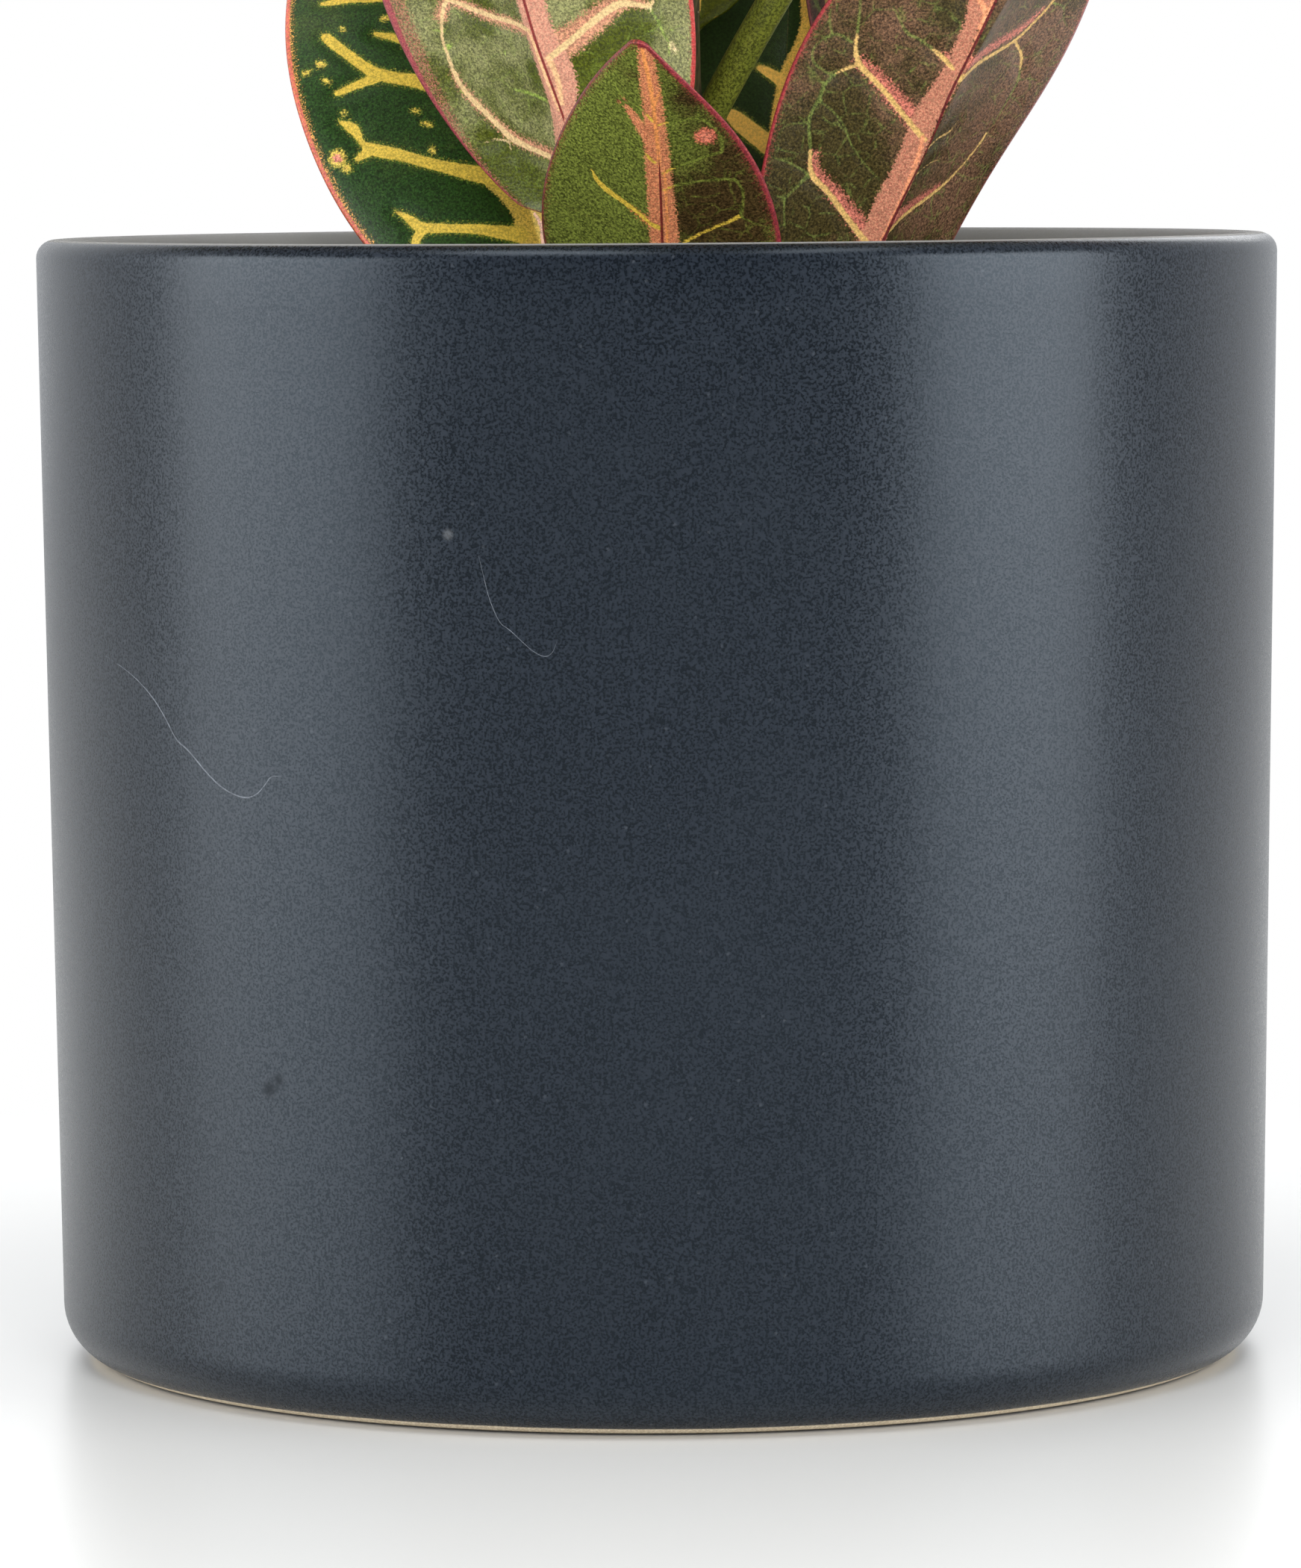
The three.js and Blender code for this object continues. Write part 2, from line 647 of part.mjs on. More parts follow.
for (const [name, stem] of Object.entries(STEMS)) {
  const young = Array.from({ length: YOUNG.count }, (_, index) => youngLeaf(name, index));
  placed.push(...young.map((leaf) => middleSurface(leaf, YOUNG_ROWS)));
  const shoots = young.map((leaf) => makeLeaf(leaf, YOUNG_ROWS));
  add(`stem_${name}`, join(makeBareStem(stem), shoots), COLOURS.stem);
}

function addLeaf(name, leaf, lowest) {
  const settled = settle(leaf, lowest);
  if (settled) add(name, makeLeaf(settled, ROWS), COLOURS[leaf.colour]);
  return settled !== null;
}

for (const [name, leaf] of Object.entries(FRONT_LEAVES)) addLeaf(name, leaf, 0);
for (const stem of ['left', 'right']) {
  LOW_BACK[stem].forEach((leaf, i) => addLeaf(`leaf_${stem}_low_${i + 1}`, lowBackLeaf(stem, leaf), 0));
}

// The upper leaves are placed from the oldest to the youngest, on all the stems together. One that finds no
// room is left out, and the leaves of each stem are numbered without a gap.
const upper = Object.entries(UPPER.count).flatMap(([stem, count]) =>
  Array.from({ length: count }, (_, index) => upperLeaf(stem, index)),
);
upper.sort((one, other) => one.age - other.age);
const placedOn = { left: 0, middle: 0, right: 0 };
for (const leaf of upper) {
  const number = String(placedOn[leaf.stem] + 1).padStart(2, '0');
  if (addLeaf(`leaf_${leaf.stem}_${number}`, leaf, UPPER.lowest)) placedOn[leaf.stem] += 1;
}

export default croton;
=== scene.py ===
"""The looks of a potted croton: a satin-glazed pot, potting mix, woody stems and broad, boldly veined leaves.

Everything is in metres in the same frame as the solids: the origin is the middle of the pot's foot, +Z is up,
and the front of the plant faces -Y. Dimensions are written in millimetres, as a maker measures them.
"""

import math

import bmesh
import bpy
import numpy as np
from mathutils import Matrix, Vector, noise


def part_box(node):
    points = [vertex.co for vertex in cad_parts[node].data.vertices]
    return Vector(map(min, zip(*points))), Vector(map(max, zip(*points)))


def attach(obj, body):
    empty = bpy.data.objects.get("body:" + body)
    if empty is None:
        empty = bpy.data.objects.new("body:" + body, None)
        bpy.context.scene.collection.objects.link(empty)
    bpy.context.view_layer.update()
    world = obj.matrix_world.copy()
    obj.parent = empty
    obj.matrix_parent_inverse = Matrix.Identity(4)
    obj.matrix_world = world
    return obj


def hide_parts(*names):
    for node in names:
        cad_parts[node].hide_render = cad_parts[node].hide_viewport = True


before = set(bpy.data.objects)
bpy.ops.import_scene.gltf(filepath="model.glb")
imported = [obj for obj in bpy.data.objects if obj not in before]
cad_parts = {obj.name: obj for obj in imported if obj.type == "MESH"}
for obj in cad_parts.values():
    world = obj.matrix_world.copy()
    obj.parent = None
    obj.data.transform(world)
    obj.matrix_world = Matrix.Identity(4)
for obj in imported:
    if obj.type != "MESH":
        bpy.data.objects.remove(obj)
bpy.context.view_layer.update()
MM = 0.001

# ---------------------------------------------------------------- dimensions, in millimetres and degrees

POT = dict(height=183.5, rim_radius=101.6, foot_radius=99.1, wall=7, lip_round=3, foot_round=9, ring=6, recess=3,
           floor=10, inner_round=12, ring_chamfer=(0.6, 0.5))
SOIL = dict(edge=137, mound=5, underside=40, lumps=1.3, swell=0.8, lump_pitch=0.11, swell_pitch=0.045,
            flat_edge=3, lowered=0.6)
STEM = dict(buried=30, straight=12, lean=1.4, sway=0.12, cell=0.9, most_growth=1.3)
STEMS = {
    "left": dict(foot=(-8, 15), top=398, lean=(-40, 27), radius=5.4, tip=2.8, outward=145, first=182),
    "middle": dict(foot=(2, -9), top=438, lean=(1, -28), radius=5.8, tip=3.0, outward=265, first=278),
    "right": dict(foot=(18, 4), top=374, lean=(50, 4), radius=5.2, tip=2.6, outward=10, first=358),
}
# The cushion under each petiole, and the scars of fallen leaves, from the mix to a little above the lowest leaf.
CUSHION = dict(below=1.0, proud=1.25, tall=3.4, wide=3.0)
SCAR = dict(first=6, apart=8, above_lowest=34, turned=60, proud=0.5, tall=2.0, half_width=2.6, half_height=1.3,
            bend=0.25)
# Shallow ribs along a stem: how high, how many round it, and how far they turn in each millimetre of height.
RIBS = ((0.10, 5, 0.05), (0.07, 11, 0.11))
BLADE = dict(half_thickness=0.42, keel=1.5, base_fullness=0.8, tip_fullness=0.68, tip_half_width=1, fold=0.26,
             curl=0.22, petiole_radius=2.1, petiole_spread=72, opening=0.05, keel_half_width=0.25, keel_fade=0.8,
             margin_shift=2.1, wave_ends=0.7)

# The leaves that show above the rim at the front.
FRONT_LEAVES = {
    "leaf_left_back": dict(
        stem="left", height=153.8, azimuth=119.7, rise=62.7, arch=17, roll=-32.3, base_fullness=0.61,
        tip_fullness=0.75, fold=0.4, curl=0.29, petiole=12.4, blade=116, half_width=31.2, waves=1.6, wave=2.2,
        phase=0.4),
    "leaf_left_front": dict(
        stem="middle", height=156.5, azimuth=216, rise=78, arch=23.5, roll=19, base_fullness=0.49,
        fold=0.44, curl=0.29, petiole=28.6, blade=115, half_width=28.8, waves=1.4, wave=1.6, phase=2.2),
    "leaf_centre_front": dict(
        stem="middle", height=151.7, azimuth=265.5, rise=59.2, arch=18.6, roll=-11.7, base_fullness=0.56,
        tip_fullness=1.03, fold=0.24, curl=0.01, petiole=7.3, blade=75, half_width=18.9, waves=1.2, wave=1.2,
        phase=1),
    "leaf_right_front": dict(
        stem="right", height=150.2, azimuth=331.2, rise=69.9, arch=20.1, roll=-20.3, base_fullness=0.55,
        tip_fullness=0.64, fold=0.44, curl=0.15, petiole=6, blade=113, half_width=25.6, waves=1.5, wave=1.6,
        phase=3),
    "leaf_right_back": dict(
        stem="right", height=158, azimuth=82, rise=76, arch=18, roll=6, petiole=14, blade=122, half_width=26,
        waves=1.7, wave=2.2, phase=0.8),
    "leaf_right_high": dict(
        stem="middle", height=203, azimuth=325, rise=57, arch=24, roll=0, petiole_radius=2.6, petiole=52,
        blade=128, half_width=27, waves=1.6, wave=2.2, phase=1.9),
    "leaf_middle_back": dict(
        stem="middle", height=206, azimuth=60, rise=72, arch=30, roll=0, petiole=10, blade=118, half_width=26,
        waves=1.6, wave=2.2, phase=2.9),
}
UPPER = dict(count=dict(left=15, middle=17, right=14), first_height=234, below_tip=14, divergence=137.5,
             rise=(40, 72), arch=(46, 26), inward_rise=16, petiole=(40, 14), blade=(154, 90), slenderness=0.205,
             wave=(3.4, 1.6), waves=1.9, reach=184)
UPPER_CHANGE = dict(azimuth=7, rise=4, arch=9, blade=9, roll=13, waves=0.35)
LOW_BACK = dict(
    left=[dict(height=176, azimuth=62, rise=58), dict(height=200, azimuth=104, rise=56)],
    right=[dict(height=182, azimuth=38, rise=66)],
)
LOW_SHAPE = dict(arch=22, petiole=22, blade=116, half_width=23, waves=1.6, wave=2.4)
LOW_ROLL = 8
YOUNG = dict(count=4, divergence=137.5, rise=(64, 82), blade=(62, 34), slenderness=0.19, sunk=3, offset=0.35)
YOUNG_SHAPE = dict(arch=12, roll=0, petiole=10, petiole_radius=1.3, waves=1, wave=0.6)
CLEARANCE = 0.3
ROWS_OF_SOLID = ([0, 0.55], [0, 0.05, 0.15, 0.28, 0.42, 0.56, 0.7, 0.82, 0.92, 1])
COLUMNS_OF_SOLID = [-1, -0.48, 0, 0.48, 1]
# How a leaf may have been made smaller, turned and lifted to clear its neighbours, and how closely it then matches.
SHRINKS, TURN, TURNS, LIFTS = (1, 0.9, 0.8), 6, 10, (0, 6, -6, 12, -12)
MATCH = 0.05

# ---------------------------------------------------------------- the photograph's camera

PHOTO = dict(width=1743, height=2100, focal=10439)  # pixels
CAMERA = dict(at=(-1.9, -1282, 199.2), yaw=0.014, pitch=4.729, roll=-0.391)
PIXEL = 0.1223  # millimetres per pixel of the photograph, at the plant
STEPS_TO_WALL = 12

# What is in the glaze, at its pixels in the photograph: a pale knot, a dark smudge and two hairline scratches.
MARKS_SEEN_AT = dict(knot=(600, 716), smudge=(361, 1458), smudge_end=(373, 1447))
SCRATCHES = {
    "long_scratch": dict(half_width=0.2, seen_at=[
        (141, 878), (176, 902), (203, 931), (222, 962), (236, 992), (252, 1004), (277, 1036), (300, 1058),
        (327, 1070), (344, 1065), (356, 1050), (363, 1039), (377, 1040)]),
    "short_scratch": dict(half_width=0.08, seen_at=[
        (641, 744), (647, 768), (655, 802), (669, 835), (681, 842), (698, 858), (714, 873), (731, 881),
        (741, 874), (746, 859)]),
}


def camera_axes():
    yaw, pitch, roll = (math.radians(CAMERA[k]) for k in ("yaw", "pitch", "roll"))
    ahead = Vector((math.sin(yaw) * math.cos(pitch), math.cos(yaw) * math.cos(pitch), -math.sin(pitch)))
    right = ahead.cross(Vector((0, 0, 1))).normalized()
    up = right.cross(ahead)
    return right * math.cos(roll) + up * math.sin(roll), up * math.cos(roll) - right * math.sin(roll), ahead


def seen_at(points):
    """Where points, in millimetres, are in the photograph, in pixels right and down."""
    right, up, ahead = (np.array(axis) for axis in camera_axes())
    apart = points - np.array(CAMERA["at"])
    depth = apart @ ahead
    across = PHOTO["width"] / 2 + PHOTO["focal"] * (apart @ right) / depth
    down = PHOTO["height"] / 2 - PHOTO["focal"] * (apart @ up) / depth
    return np.stack([across, down], -1)


def wall_radius(z):
    return POT["foot_radius"] + (POT["rim_radius"] - POT["foot_radius"]) * z / POT["height"]


def on_pot_wall(across, down):
    """The place on the front of the pot, in millimetres, that is at a pixel of the photograph."""
    right, up, ahead = camera_axes()
    way = (ahead + right * (across - PHOTO["width"] / 2) / PHOTO["focal"]
           + up * (PHOTO["height"] / 2 - down) / PHOTO["focal"])
    eye = Vector(CAMERA["at"])
    reach = -eye.y
    for _ in range(STEPS_TO_WALL):
        point = eye + way * reach
        reach -= (point.y + math.sqrt(max(wall_radius(point.z) ** 2 - point.x ** 2, 0))) / way.y
    return eye + way * reach


MARKS = {name: on_pot_wall(*pixel) * MM for name, pixel in MARKS_SEEN_AT.items()}

# ---------------------------------------------------------------- small helpers


def mix(pair, share):
    return pair[0] + (pair[1] - pair[0]) * share


def smooth(value):
    value = np.clip(value, 0, 1)
    return value * value * (3 - 2 * value)


def heading(degrees):
    return np.array([math.cos(math.radians(degrees)), math.sin(math.radians(degrees)), 0.0])


class Draws:
    """Repeatable random numbers from -1 to 1, drawn in the same order as for the solids."""

    FACTOR, MODULUS = 48271, 2147483647

    def __init__(self, seed):
        self.seed = seed

    def __call__(self):
        self.seed = self.seed * self.FACTOR % self.MODULUS
        return self.seed / self.MODULUS * 2 - 1


scatter = Draws(20731)
SEEDS = dict(leaf=101, next_leaf=17, young=900)


def soil_height(radius):
    return SOIL["edge"] + SOIL["mound"] * (1 - (radius / POT["rim_radius"]) ** 2)


SOIL_RADIUS = wall_radius(SOIL["edge"]) - POT["wall"] - CLEARANCE


def stem_axis(stem, z):
    start = soil_height(0) + STEM["straight"]
    share = np.clip((z - start) / (stem["top"] - start), 0, 1)
    moved = share ** STEM["lean"] + STEM["sway"] * np.sin(2 * np.pi * share)
    return np.array([stem["foot"][0] + stem["lean"][0] * moved, stem["foot"][1] + stem["lean"][1] * moved, z])


def stem_radius(stem, z):
    share = np.clip((z - soil_height(0)) / (stem["top"] - soil_height(0)), 0, 1)
    return mix((stem["radius"], stem["tip"]), share)


# ---------------------------------------------------------------- the form of a leaf

def with_base(leaf):
    """The petiole starts on its stem's bark, just clear of it."""
    stem = STEMS[leaf["stem"]]
    radius = leaf.get("petiole_radius", BLADE["petiole_radius"])
    off = stem_radius(stem, leaf["height"]) + 2 * CLEARANCE + radius * math.sin(math.radians(leaf["rise"]))
    return {**leaf, "petiole_radius": radius, "base": stem_axis(stem, leaf["height"]) + heading(leaf["azimuth"]) * off}


def leaf_frame(leaf, share):
    """The midrib's points at shares of the leaf's length, with the ways across it and out of its face."""
    total = leaf["petiole"] + leaf["blade"]
    rise, arch = math.radians(leaf["rise"]), math.radians(leaf["arch"])
    angle = rise - arch * share
    out = total * (math.sin(rise) - np.sin(angle)) / arch
    up = total * (np.cos(angle) - math.cos(rise)) / arch
    ahead, side, z = heading(leaf["azimuth"]), heading(leaf["azimuth"] + 90), np.array([0, 0, 1.0])
    roll = (math.radians(leaf["roll"]) * smooth(share * total / leaf["petiole"]))[:, None]
    face = -ahead * np.sin(angle)[:, None] + z * np.cos(angle)[:, None]
    point = leaf["base"] + ahead * out[:, None] + z * up[:, None]
    return point, side * np.cos(roll) + face * np.sin(roll), face * np.cos(roll) - side * np.sin(roll)


def half_width(leaf, u):
    base, tip = (leaf.get(k, BLADE[k]) for k in ("base_fullness", "tip_fullness"))
    widest = base / (base + tip)
    peak = widest ** base * (1 - widest) ** tip
    return leaf["half_width"] * u ** base * (1 - u) ** tip / peak + BLADE["tip_half_width"]


def blade_lift(leaf, u, v):
    fold, curl = (leaf.get(k, BLADE[k]) for k in ("fold", "curl"))
    turn = 2 * np.pi * leaf["waves"] * u + leaf["phase"] + np.where(v > 0, BLADE["margin_shift"], 0)
    ends = np.sin(np.pi * np.clip(u, 0, 1)) ** BLADE["wave_ends"]
    return half_width(leaf, u) * (fold * np.abs(v) - curl * v * v) + leaf["wave"] * v * v * np.sin(turn) * ends


def stalk_share(leaf):
    return leaf["petiole"] / (leaf["petiole"] + leaf["blade"])


def share_at(leaf, u):
    """The share of the whole leaf's length that is at a share u of its blade."""
    stalk = stalk_share(leaf)
    return stalk + (1 - stalk) * u


def along_blade(leaf, share):
    stalk = stalk_share(leaf)
    return np.clip((share - stalk) / (1 - stalk), 0, 1)


def keel_height(u):
    return BLADE["keel"] * (1 - BLADE["keel_fade"] * u)


def leaf_points(leaf, share, v, side, spread, offset):
    """The skin's points. side is 1 on the upper face and -1 on the lower, offset its height off the middle surface."""
    u = along_blade(leaf, share)
    point, across, normal = leaf_frame(leaf, share)
    angle = np.radians(90 - spread * v)
    round_across, round_up = leaf["petiole_radius"] * np.cos(angle), leaf["petiole_radius"] * np.sin(angle) * side
    opened = smooth(u / BLADE["opening"])
    on_across = mix((round_across, half_width(leaf, u) * v), opened)
    on_normal = mix((round_up, blade_lift(leaf, u, v) + offset), opened)
    return point + across * on_across[:, None] + normal * on_normal[:, None]


def solid_points(leaf):
    """The corners of the leaf's solid."""
    stalk = stalk_share(leaf)
    shares = [s * stalk for s in ROWS_OF_SOLID[0]] + [share_at(leaf, u) for u in ROWS_OF_SOLID[1]]
    share, v, side = (a.ravel() for a in np.meshgrid(shares, COLUMNS_OF_SOLID, [1, -1], indexing="ij"))
    u = along_blade(leaf, share)
    ridge = keel_height(u) * np.clip(1 - np.abs(v) / BLADE["keel_half_width"], 0, 1)
    offset = side * BLADE["half_thickness"] - np.where(side < 0, ridge, 0)
    return leaf_points(leaf, share, v, side, BLADE["petiole_spread"], offset)


def within_reach(leaf):
    total = leaf["petiole"] + leaf["blade"]
    tip = leaf_frame(leaf, np.array([1.0]))[0][0]
    over = math.hypot(tip[0], tip[1]) / UPPER["reach"]
    return leaf if over <= 1 else with_base({**leaf, "blade": total / over - leaf["petiole"]})


def moves():
    """The ways in which a leaf may have been made smaller, turned or lifted to clear its neighbours."""
    for shrink in SHRINKS:
        for turn in range(TURNS):
            for side in ((1,) if turn == 0 else (1, -1)):
                for lift in LIFTS:
                    yield shrink, side * turn * TURN, lift


def fitted(leaf, name):
    """The leaf as its solid was placed, or None where no way of placing it matches that solid."""
    low, high = (np.array(corner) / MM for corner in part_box(name))
    for shrink, turn, lift in moves():
        tried = within_reach(with_base({
            **leaf, "azimuth": leaf["azimuth"] + turn, "rise": leaf["rise"] + lift,
            "blade": leaf["blade"] * shrink, "half_width": leaf["half_width"] * shrink}))
        points = solid_points(tried)
        if max(np.abs(points.min(0) - low).max(), np.abs(points.max(0) - high).max()) < MATCH:
            return tried
    return None


def upper_leaf(name, index):
    stem = STEMS[name]
    age = index / (UPPER["count"][name] - 1)
    azimuth = stem["first"] + index * UPPER["divergence"] + UPPER_CHANGE["azimuth"] * scatter()
    inward = max(0, -math.cos(math.radians(azimuth - stem["outward"])))
    blade = mix(UPPER["blade"], age ** 1.4) + UPPER_CHANGE["blade"] * scatter()
    steeper = UPPER["inward_rise"] * inward * (1 - age)
    return dict(
        stem=name, age=age, azimuth=azimuth, blade=blade, half_width=blade * UPPER["slenderness"],
        height=mix((UPPER["first_height"], stem["top"] - UPPER["below_tip"]), age ** 0.9),
        rise=mix(UPPER["rise"], age ** 1.2) + steeper + UPPER_CHANGE["rise"] * scatter(),
        arch=mix(UPPER["arch"], age) + UPPER_CHANGE["arch"] * scatter(),
        roll=UPPER_CHANGE["roll"] * scatter(), petiole=mix(UPPER["petiole"], age),
        waves=UPPER["waves"] + UPPER_CHANGE["waves"] * scatter(), wave=mix(UPPER["wave"], age),
        phase=math.pi * scatter())


def all_leaves():
    """Every large leaf by its node's name, placed as its solid is."""
    leaves = {name: fitted({**leaf, "age": 0}, name) for name, leaf in FRONT_LEAVES.items()}
    for stem in ("left", "right"):
        for number, low in enumerate(LOW_BACK[stem], 1):
            name = f"leaf_{stem}_low_{number}"
            leaves[name] = fitted({"stem": stem, "age": 0, **low, **LOW_SHAPE, "roll": LOW_ROLL * scatter(),
                                   "phase": math.pi * scatter()}, name)
    upper = [upper_leaf(stem, index) for stem, count in UPPER["count"].items() for index in range(count)]
    placed = {stem: 0 for stem in STEMS}
    for leaf in sorted(upper, key=lambda leaf: leaf["age"]):
        name = f"leaf_{leaf['stem']}_{placed[leaf['stem']] + 1:02d}"
        found = fitted(leaf, name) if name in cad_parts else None
        if found:
            leaves[name] = found
            placed[leaf["stem"]] += 1
    return leaves


def young_leaves(name):
    """The small leaves that are still opening at a stem's tip."""
    stem = STEMS[name]
    for index in range(YOUNG["count"]):
        share = index / (YOUNG["count"] - 1)
        azimuth = stem["first"] + (UPPER["count"][name] + index) * YOUNG["divergence"]
        base = stem_axis(stem, stem["top"] - YOUNG["sunk"]) + heading(azimuth) * stem["tip"] * YOUNG["offset"]
        blade = mix(YOUNG["blade"], share)
        yield {**YOUNG_SHAPE, "base": base, "azimuth": azimuth, "rise": mix(YOUNG["rise"], share), "blade": blade,
               "half_width": blade * YOUNG["slenderness"], "phase": index}


# ---------------------------------------------------------------- making meshes

def finish_piece(bm, name, finish, slot, nodes, smooth_faces=True):
    """A finished object from a bmesh whose vertices are in metres in the shared frame."""
    mesh = bpy.data.meshes.new(name)
    bm.to_mesh(mesh)
    bm.free()
    if smooth_faces:
        mesh.shade_smooth()
    piece = bpy.data.objects.new(name, mesh)
    bpy.context.scene.collection.objects.link(piece)
    mesh.materials.append(finish)
    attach(piece, "root")
    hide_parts(*nodes)
    return piece


def turned(profile, steps):
    """A profile of points (radius, height), in millimetres, spun about the pot's axis."""
    bm = bmesh.new()
    points = [bm.verts.new((radius * MM, 0, height * MM)) for radius, height in profile]
    edges = [bm.edges.new(pair) for pair in zip(points[:-1], points[1:])]
    bmesh.ops.spin(bm, geom=points + edges, axis=(0, 0, 1), cent=(0, 0, 0), angle=2 * math.pi, steps=steps,
                   use_merge=True)
    bmesh.ops.remove_doubles(bm, verts=bm.verts, dist=1e-6)
    return bm


def sleeve(around, along):
    """A grid closed round into a sleeve, with each vertex's place round it and along it."""
    bm = bmesh.new()
    bmesh.ops.create_grid(bm, x_segments=around, y_segments=along, size=1)
    column, row = bm.verts.layers.float.new("column"), bm.verts.layers.float.new("row")
    by_place = {}
    for vert in bm.verts:
        vert[column] = round((vert.co.x + 1) / 2 * around)
        vert[row] = round((vert.co.y + 1) / 2 * along)
        by_place[int(vert[column]), int(vert[row])] = vert
    bmesh.ops.weld_verts(bm, targetmap={by_place[around, k]: by_place[0, k] for k in range(along + 1)})
    return bm, *(np.array([int(vert[layer]) for vert in bm.verts]) for layer in (column, row))


def place_vertices(bm, points):
    for vert, point in zip(bm.verts, points * MM):
        vert.co = point


def close_ends(bm):
    bmesh.ops.holes_fill(bm, edges=[edge for edge in bm.edges if edge.is_boundary], sides=0)
    bmesh.ops.recalc_face_normals(bm, faces=bm.faces)


def set_attributes(piece, fields):
    for name, values in fields.items():
        attribute = piece.data.attributes.new(name, "FLOAT", "POINT")
        attribute.data.foreach_set("value", np.asarray(values, dtype=np.float32))


def set_uv(piece, points):
    """A UV map in millimetres on the flat blade, given each vertex's place on it."""
    corners = np.empty(len(piece.data.loops), dtype=np.int32)
    piece.data.loops.foreach_get("vertex_index", corners)
    layer = piece.data.uv_layers.new(name="flat")
    layer.data.foreach_set("uv", np.ascontiguousarray(points[corners], dtype=np.float32).ravel())


# ---------------------------------------------------------------- the venation of a blade

# What marks a blade: each kind of marking is a list of strokes, and a stroke is a row of points (x, y, half width)
# in millimetres on the flat blade, x across from the midrib and y along from the petiole.
MARKINGS = ("band", "line", "bright", "core", "halo", "green", "spot")
FAR = 9.0  # no marking is looked for further away than this, in millimetres
FAR_ACROSS = 40.0  # no line is looked for further away than this, in half widths of it
LOST = 99.0  # nor further away than this, in millimetres
THINNEST = 0.02  # the least half width that a line is drawn with

# The rule of the species for veins. Pairs are half widths from start to end, and shares are of the blade's length.
VEINS = dict(
    start=-0.04, end=0.99, wander=0.25, band=(1.7, 0.35), line=0.2,
    first=0.05, last=0.93, apart=9.5, uneven=1.8, rise=0.3, bow=1.35, sway=0.012, furthest=0.985, reach=0.9,
    core=(0.55, 0.25), halo=(1.35, 0.4), green=(0.3, 0.22), fork=(0.45, 0.2), fork_green=(0.3, 0.2),
    fork_out=1.5, fork_up=8, fork_change=3, net=(0.2, 0.16), net_change=1.2,
    spots=6, spot=0.5, spot_change=0.35, spot_along=(0.5, 0.42), spot_across=0.85)


def rounded(points, times=2):
    """A stroke with its corners cut, keeping its ends."""
    points = np.asarray(points, dtype=float)
    for _ in range(times):
        inner = np.stack([points[:-1] * 0.75 + points[1:] * 0.25, points[:-1] * 0.25 + points[1:] * 0.75], 1)
        points = np.concatenate([points[:1], inner.reshape(-1, points.shape[1])[1:-1], points[-1:]])
    return points


def distance_to(strokes, places):
    """How far each place is outside the edge of the nearest stroke, and less than 0 inside one."""
    nearest = np.full(len(places), FAR)
    for stroke in strokes:
        reach = FAR + stroke[:, 2].max()
        low, high = stroke[:, :2].min(0) - reach, stroke[:, :2].max(0) + reach
        close = np.nonzero(((places >= low) & (places <= high)).all(1))[0]
        spots, best = places[close], nearest[close]
        for start, end in zip(stroke[:-1], stroke[1:]):
            run = end[:2] - start[:2]
            share = np.clip(((spots - start[:2]) @ run) / max(run @ run, 1e-9), 0, 1)
            off = np.linalg.norm(spots - start[:2] - share[:, None] * run, axis=1)
            best = np.minimum(best, off - start[2] - (end[2] - start[2]) * share)
        nearest[close] = best
    return nearest


def across_line(strokes, places):
    """How far each place is to the right of the nearest line, in half widths, so that a fine line stays whole."""
    nearest, value = np.full(len(places), LOST), np.full(len(places), FAR_ACROSS)
    for stroke in strokes:
        for start, end in zip(stroke[:-1], stroke[1:]):
            run, apart = end[:2] - start[:2], places - start[:2]
            share = np.clip((apart @ run) / max(run @ run, 1e-9), 0, 1)
            off = np.linalg.norm(apart - share[:, None] * run, axis=1)
            side = np.where(apart[:, 0] * run[1] - apart[:, 1] * run[0] > 0, 1, -1)
            half = np.maximum(start[2] + (end[2] - start[2]) * share, THINNEST)
            value = np.where(off < nearest, np.clip(side * off / half, -FAR_ACROSS, FAR_ACROSS), value)
            nearest = np.minimum(nearest, off)
    return value


def widened(stroke, start, end):
    """The same stroke with its half width running from start to end."""
    shares = np.linspace(0, 1, len(stroke))[:, None]
    return np.concatenate([stroke[:, :2], start + (end - start) * shares], 1)


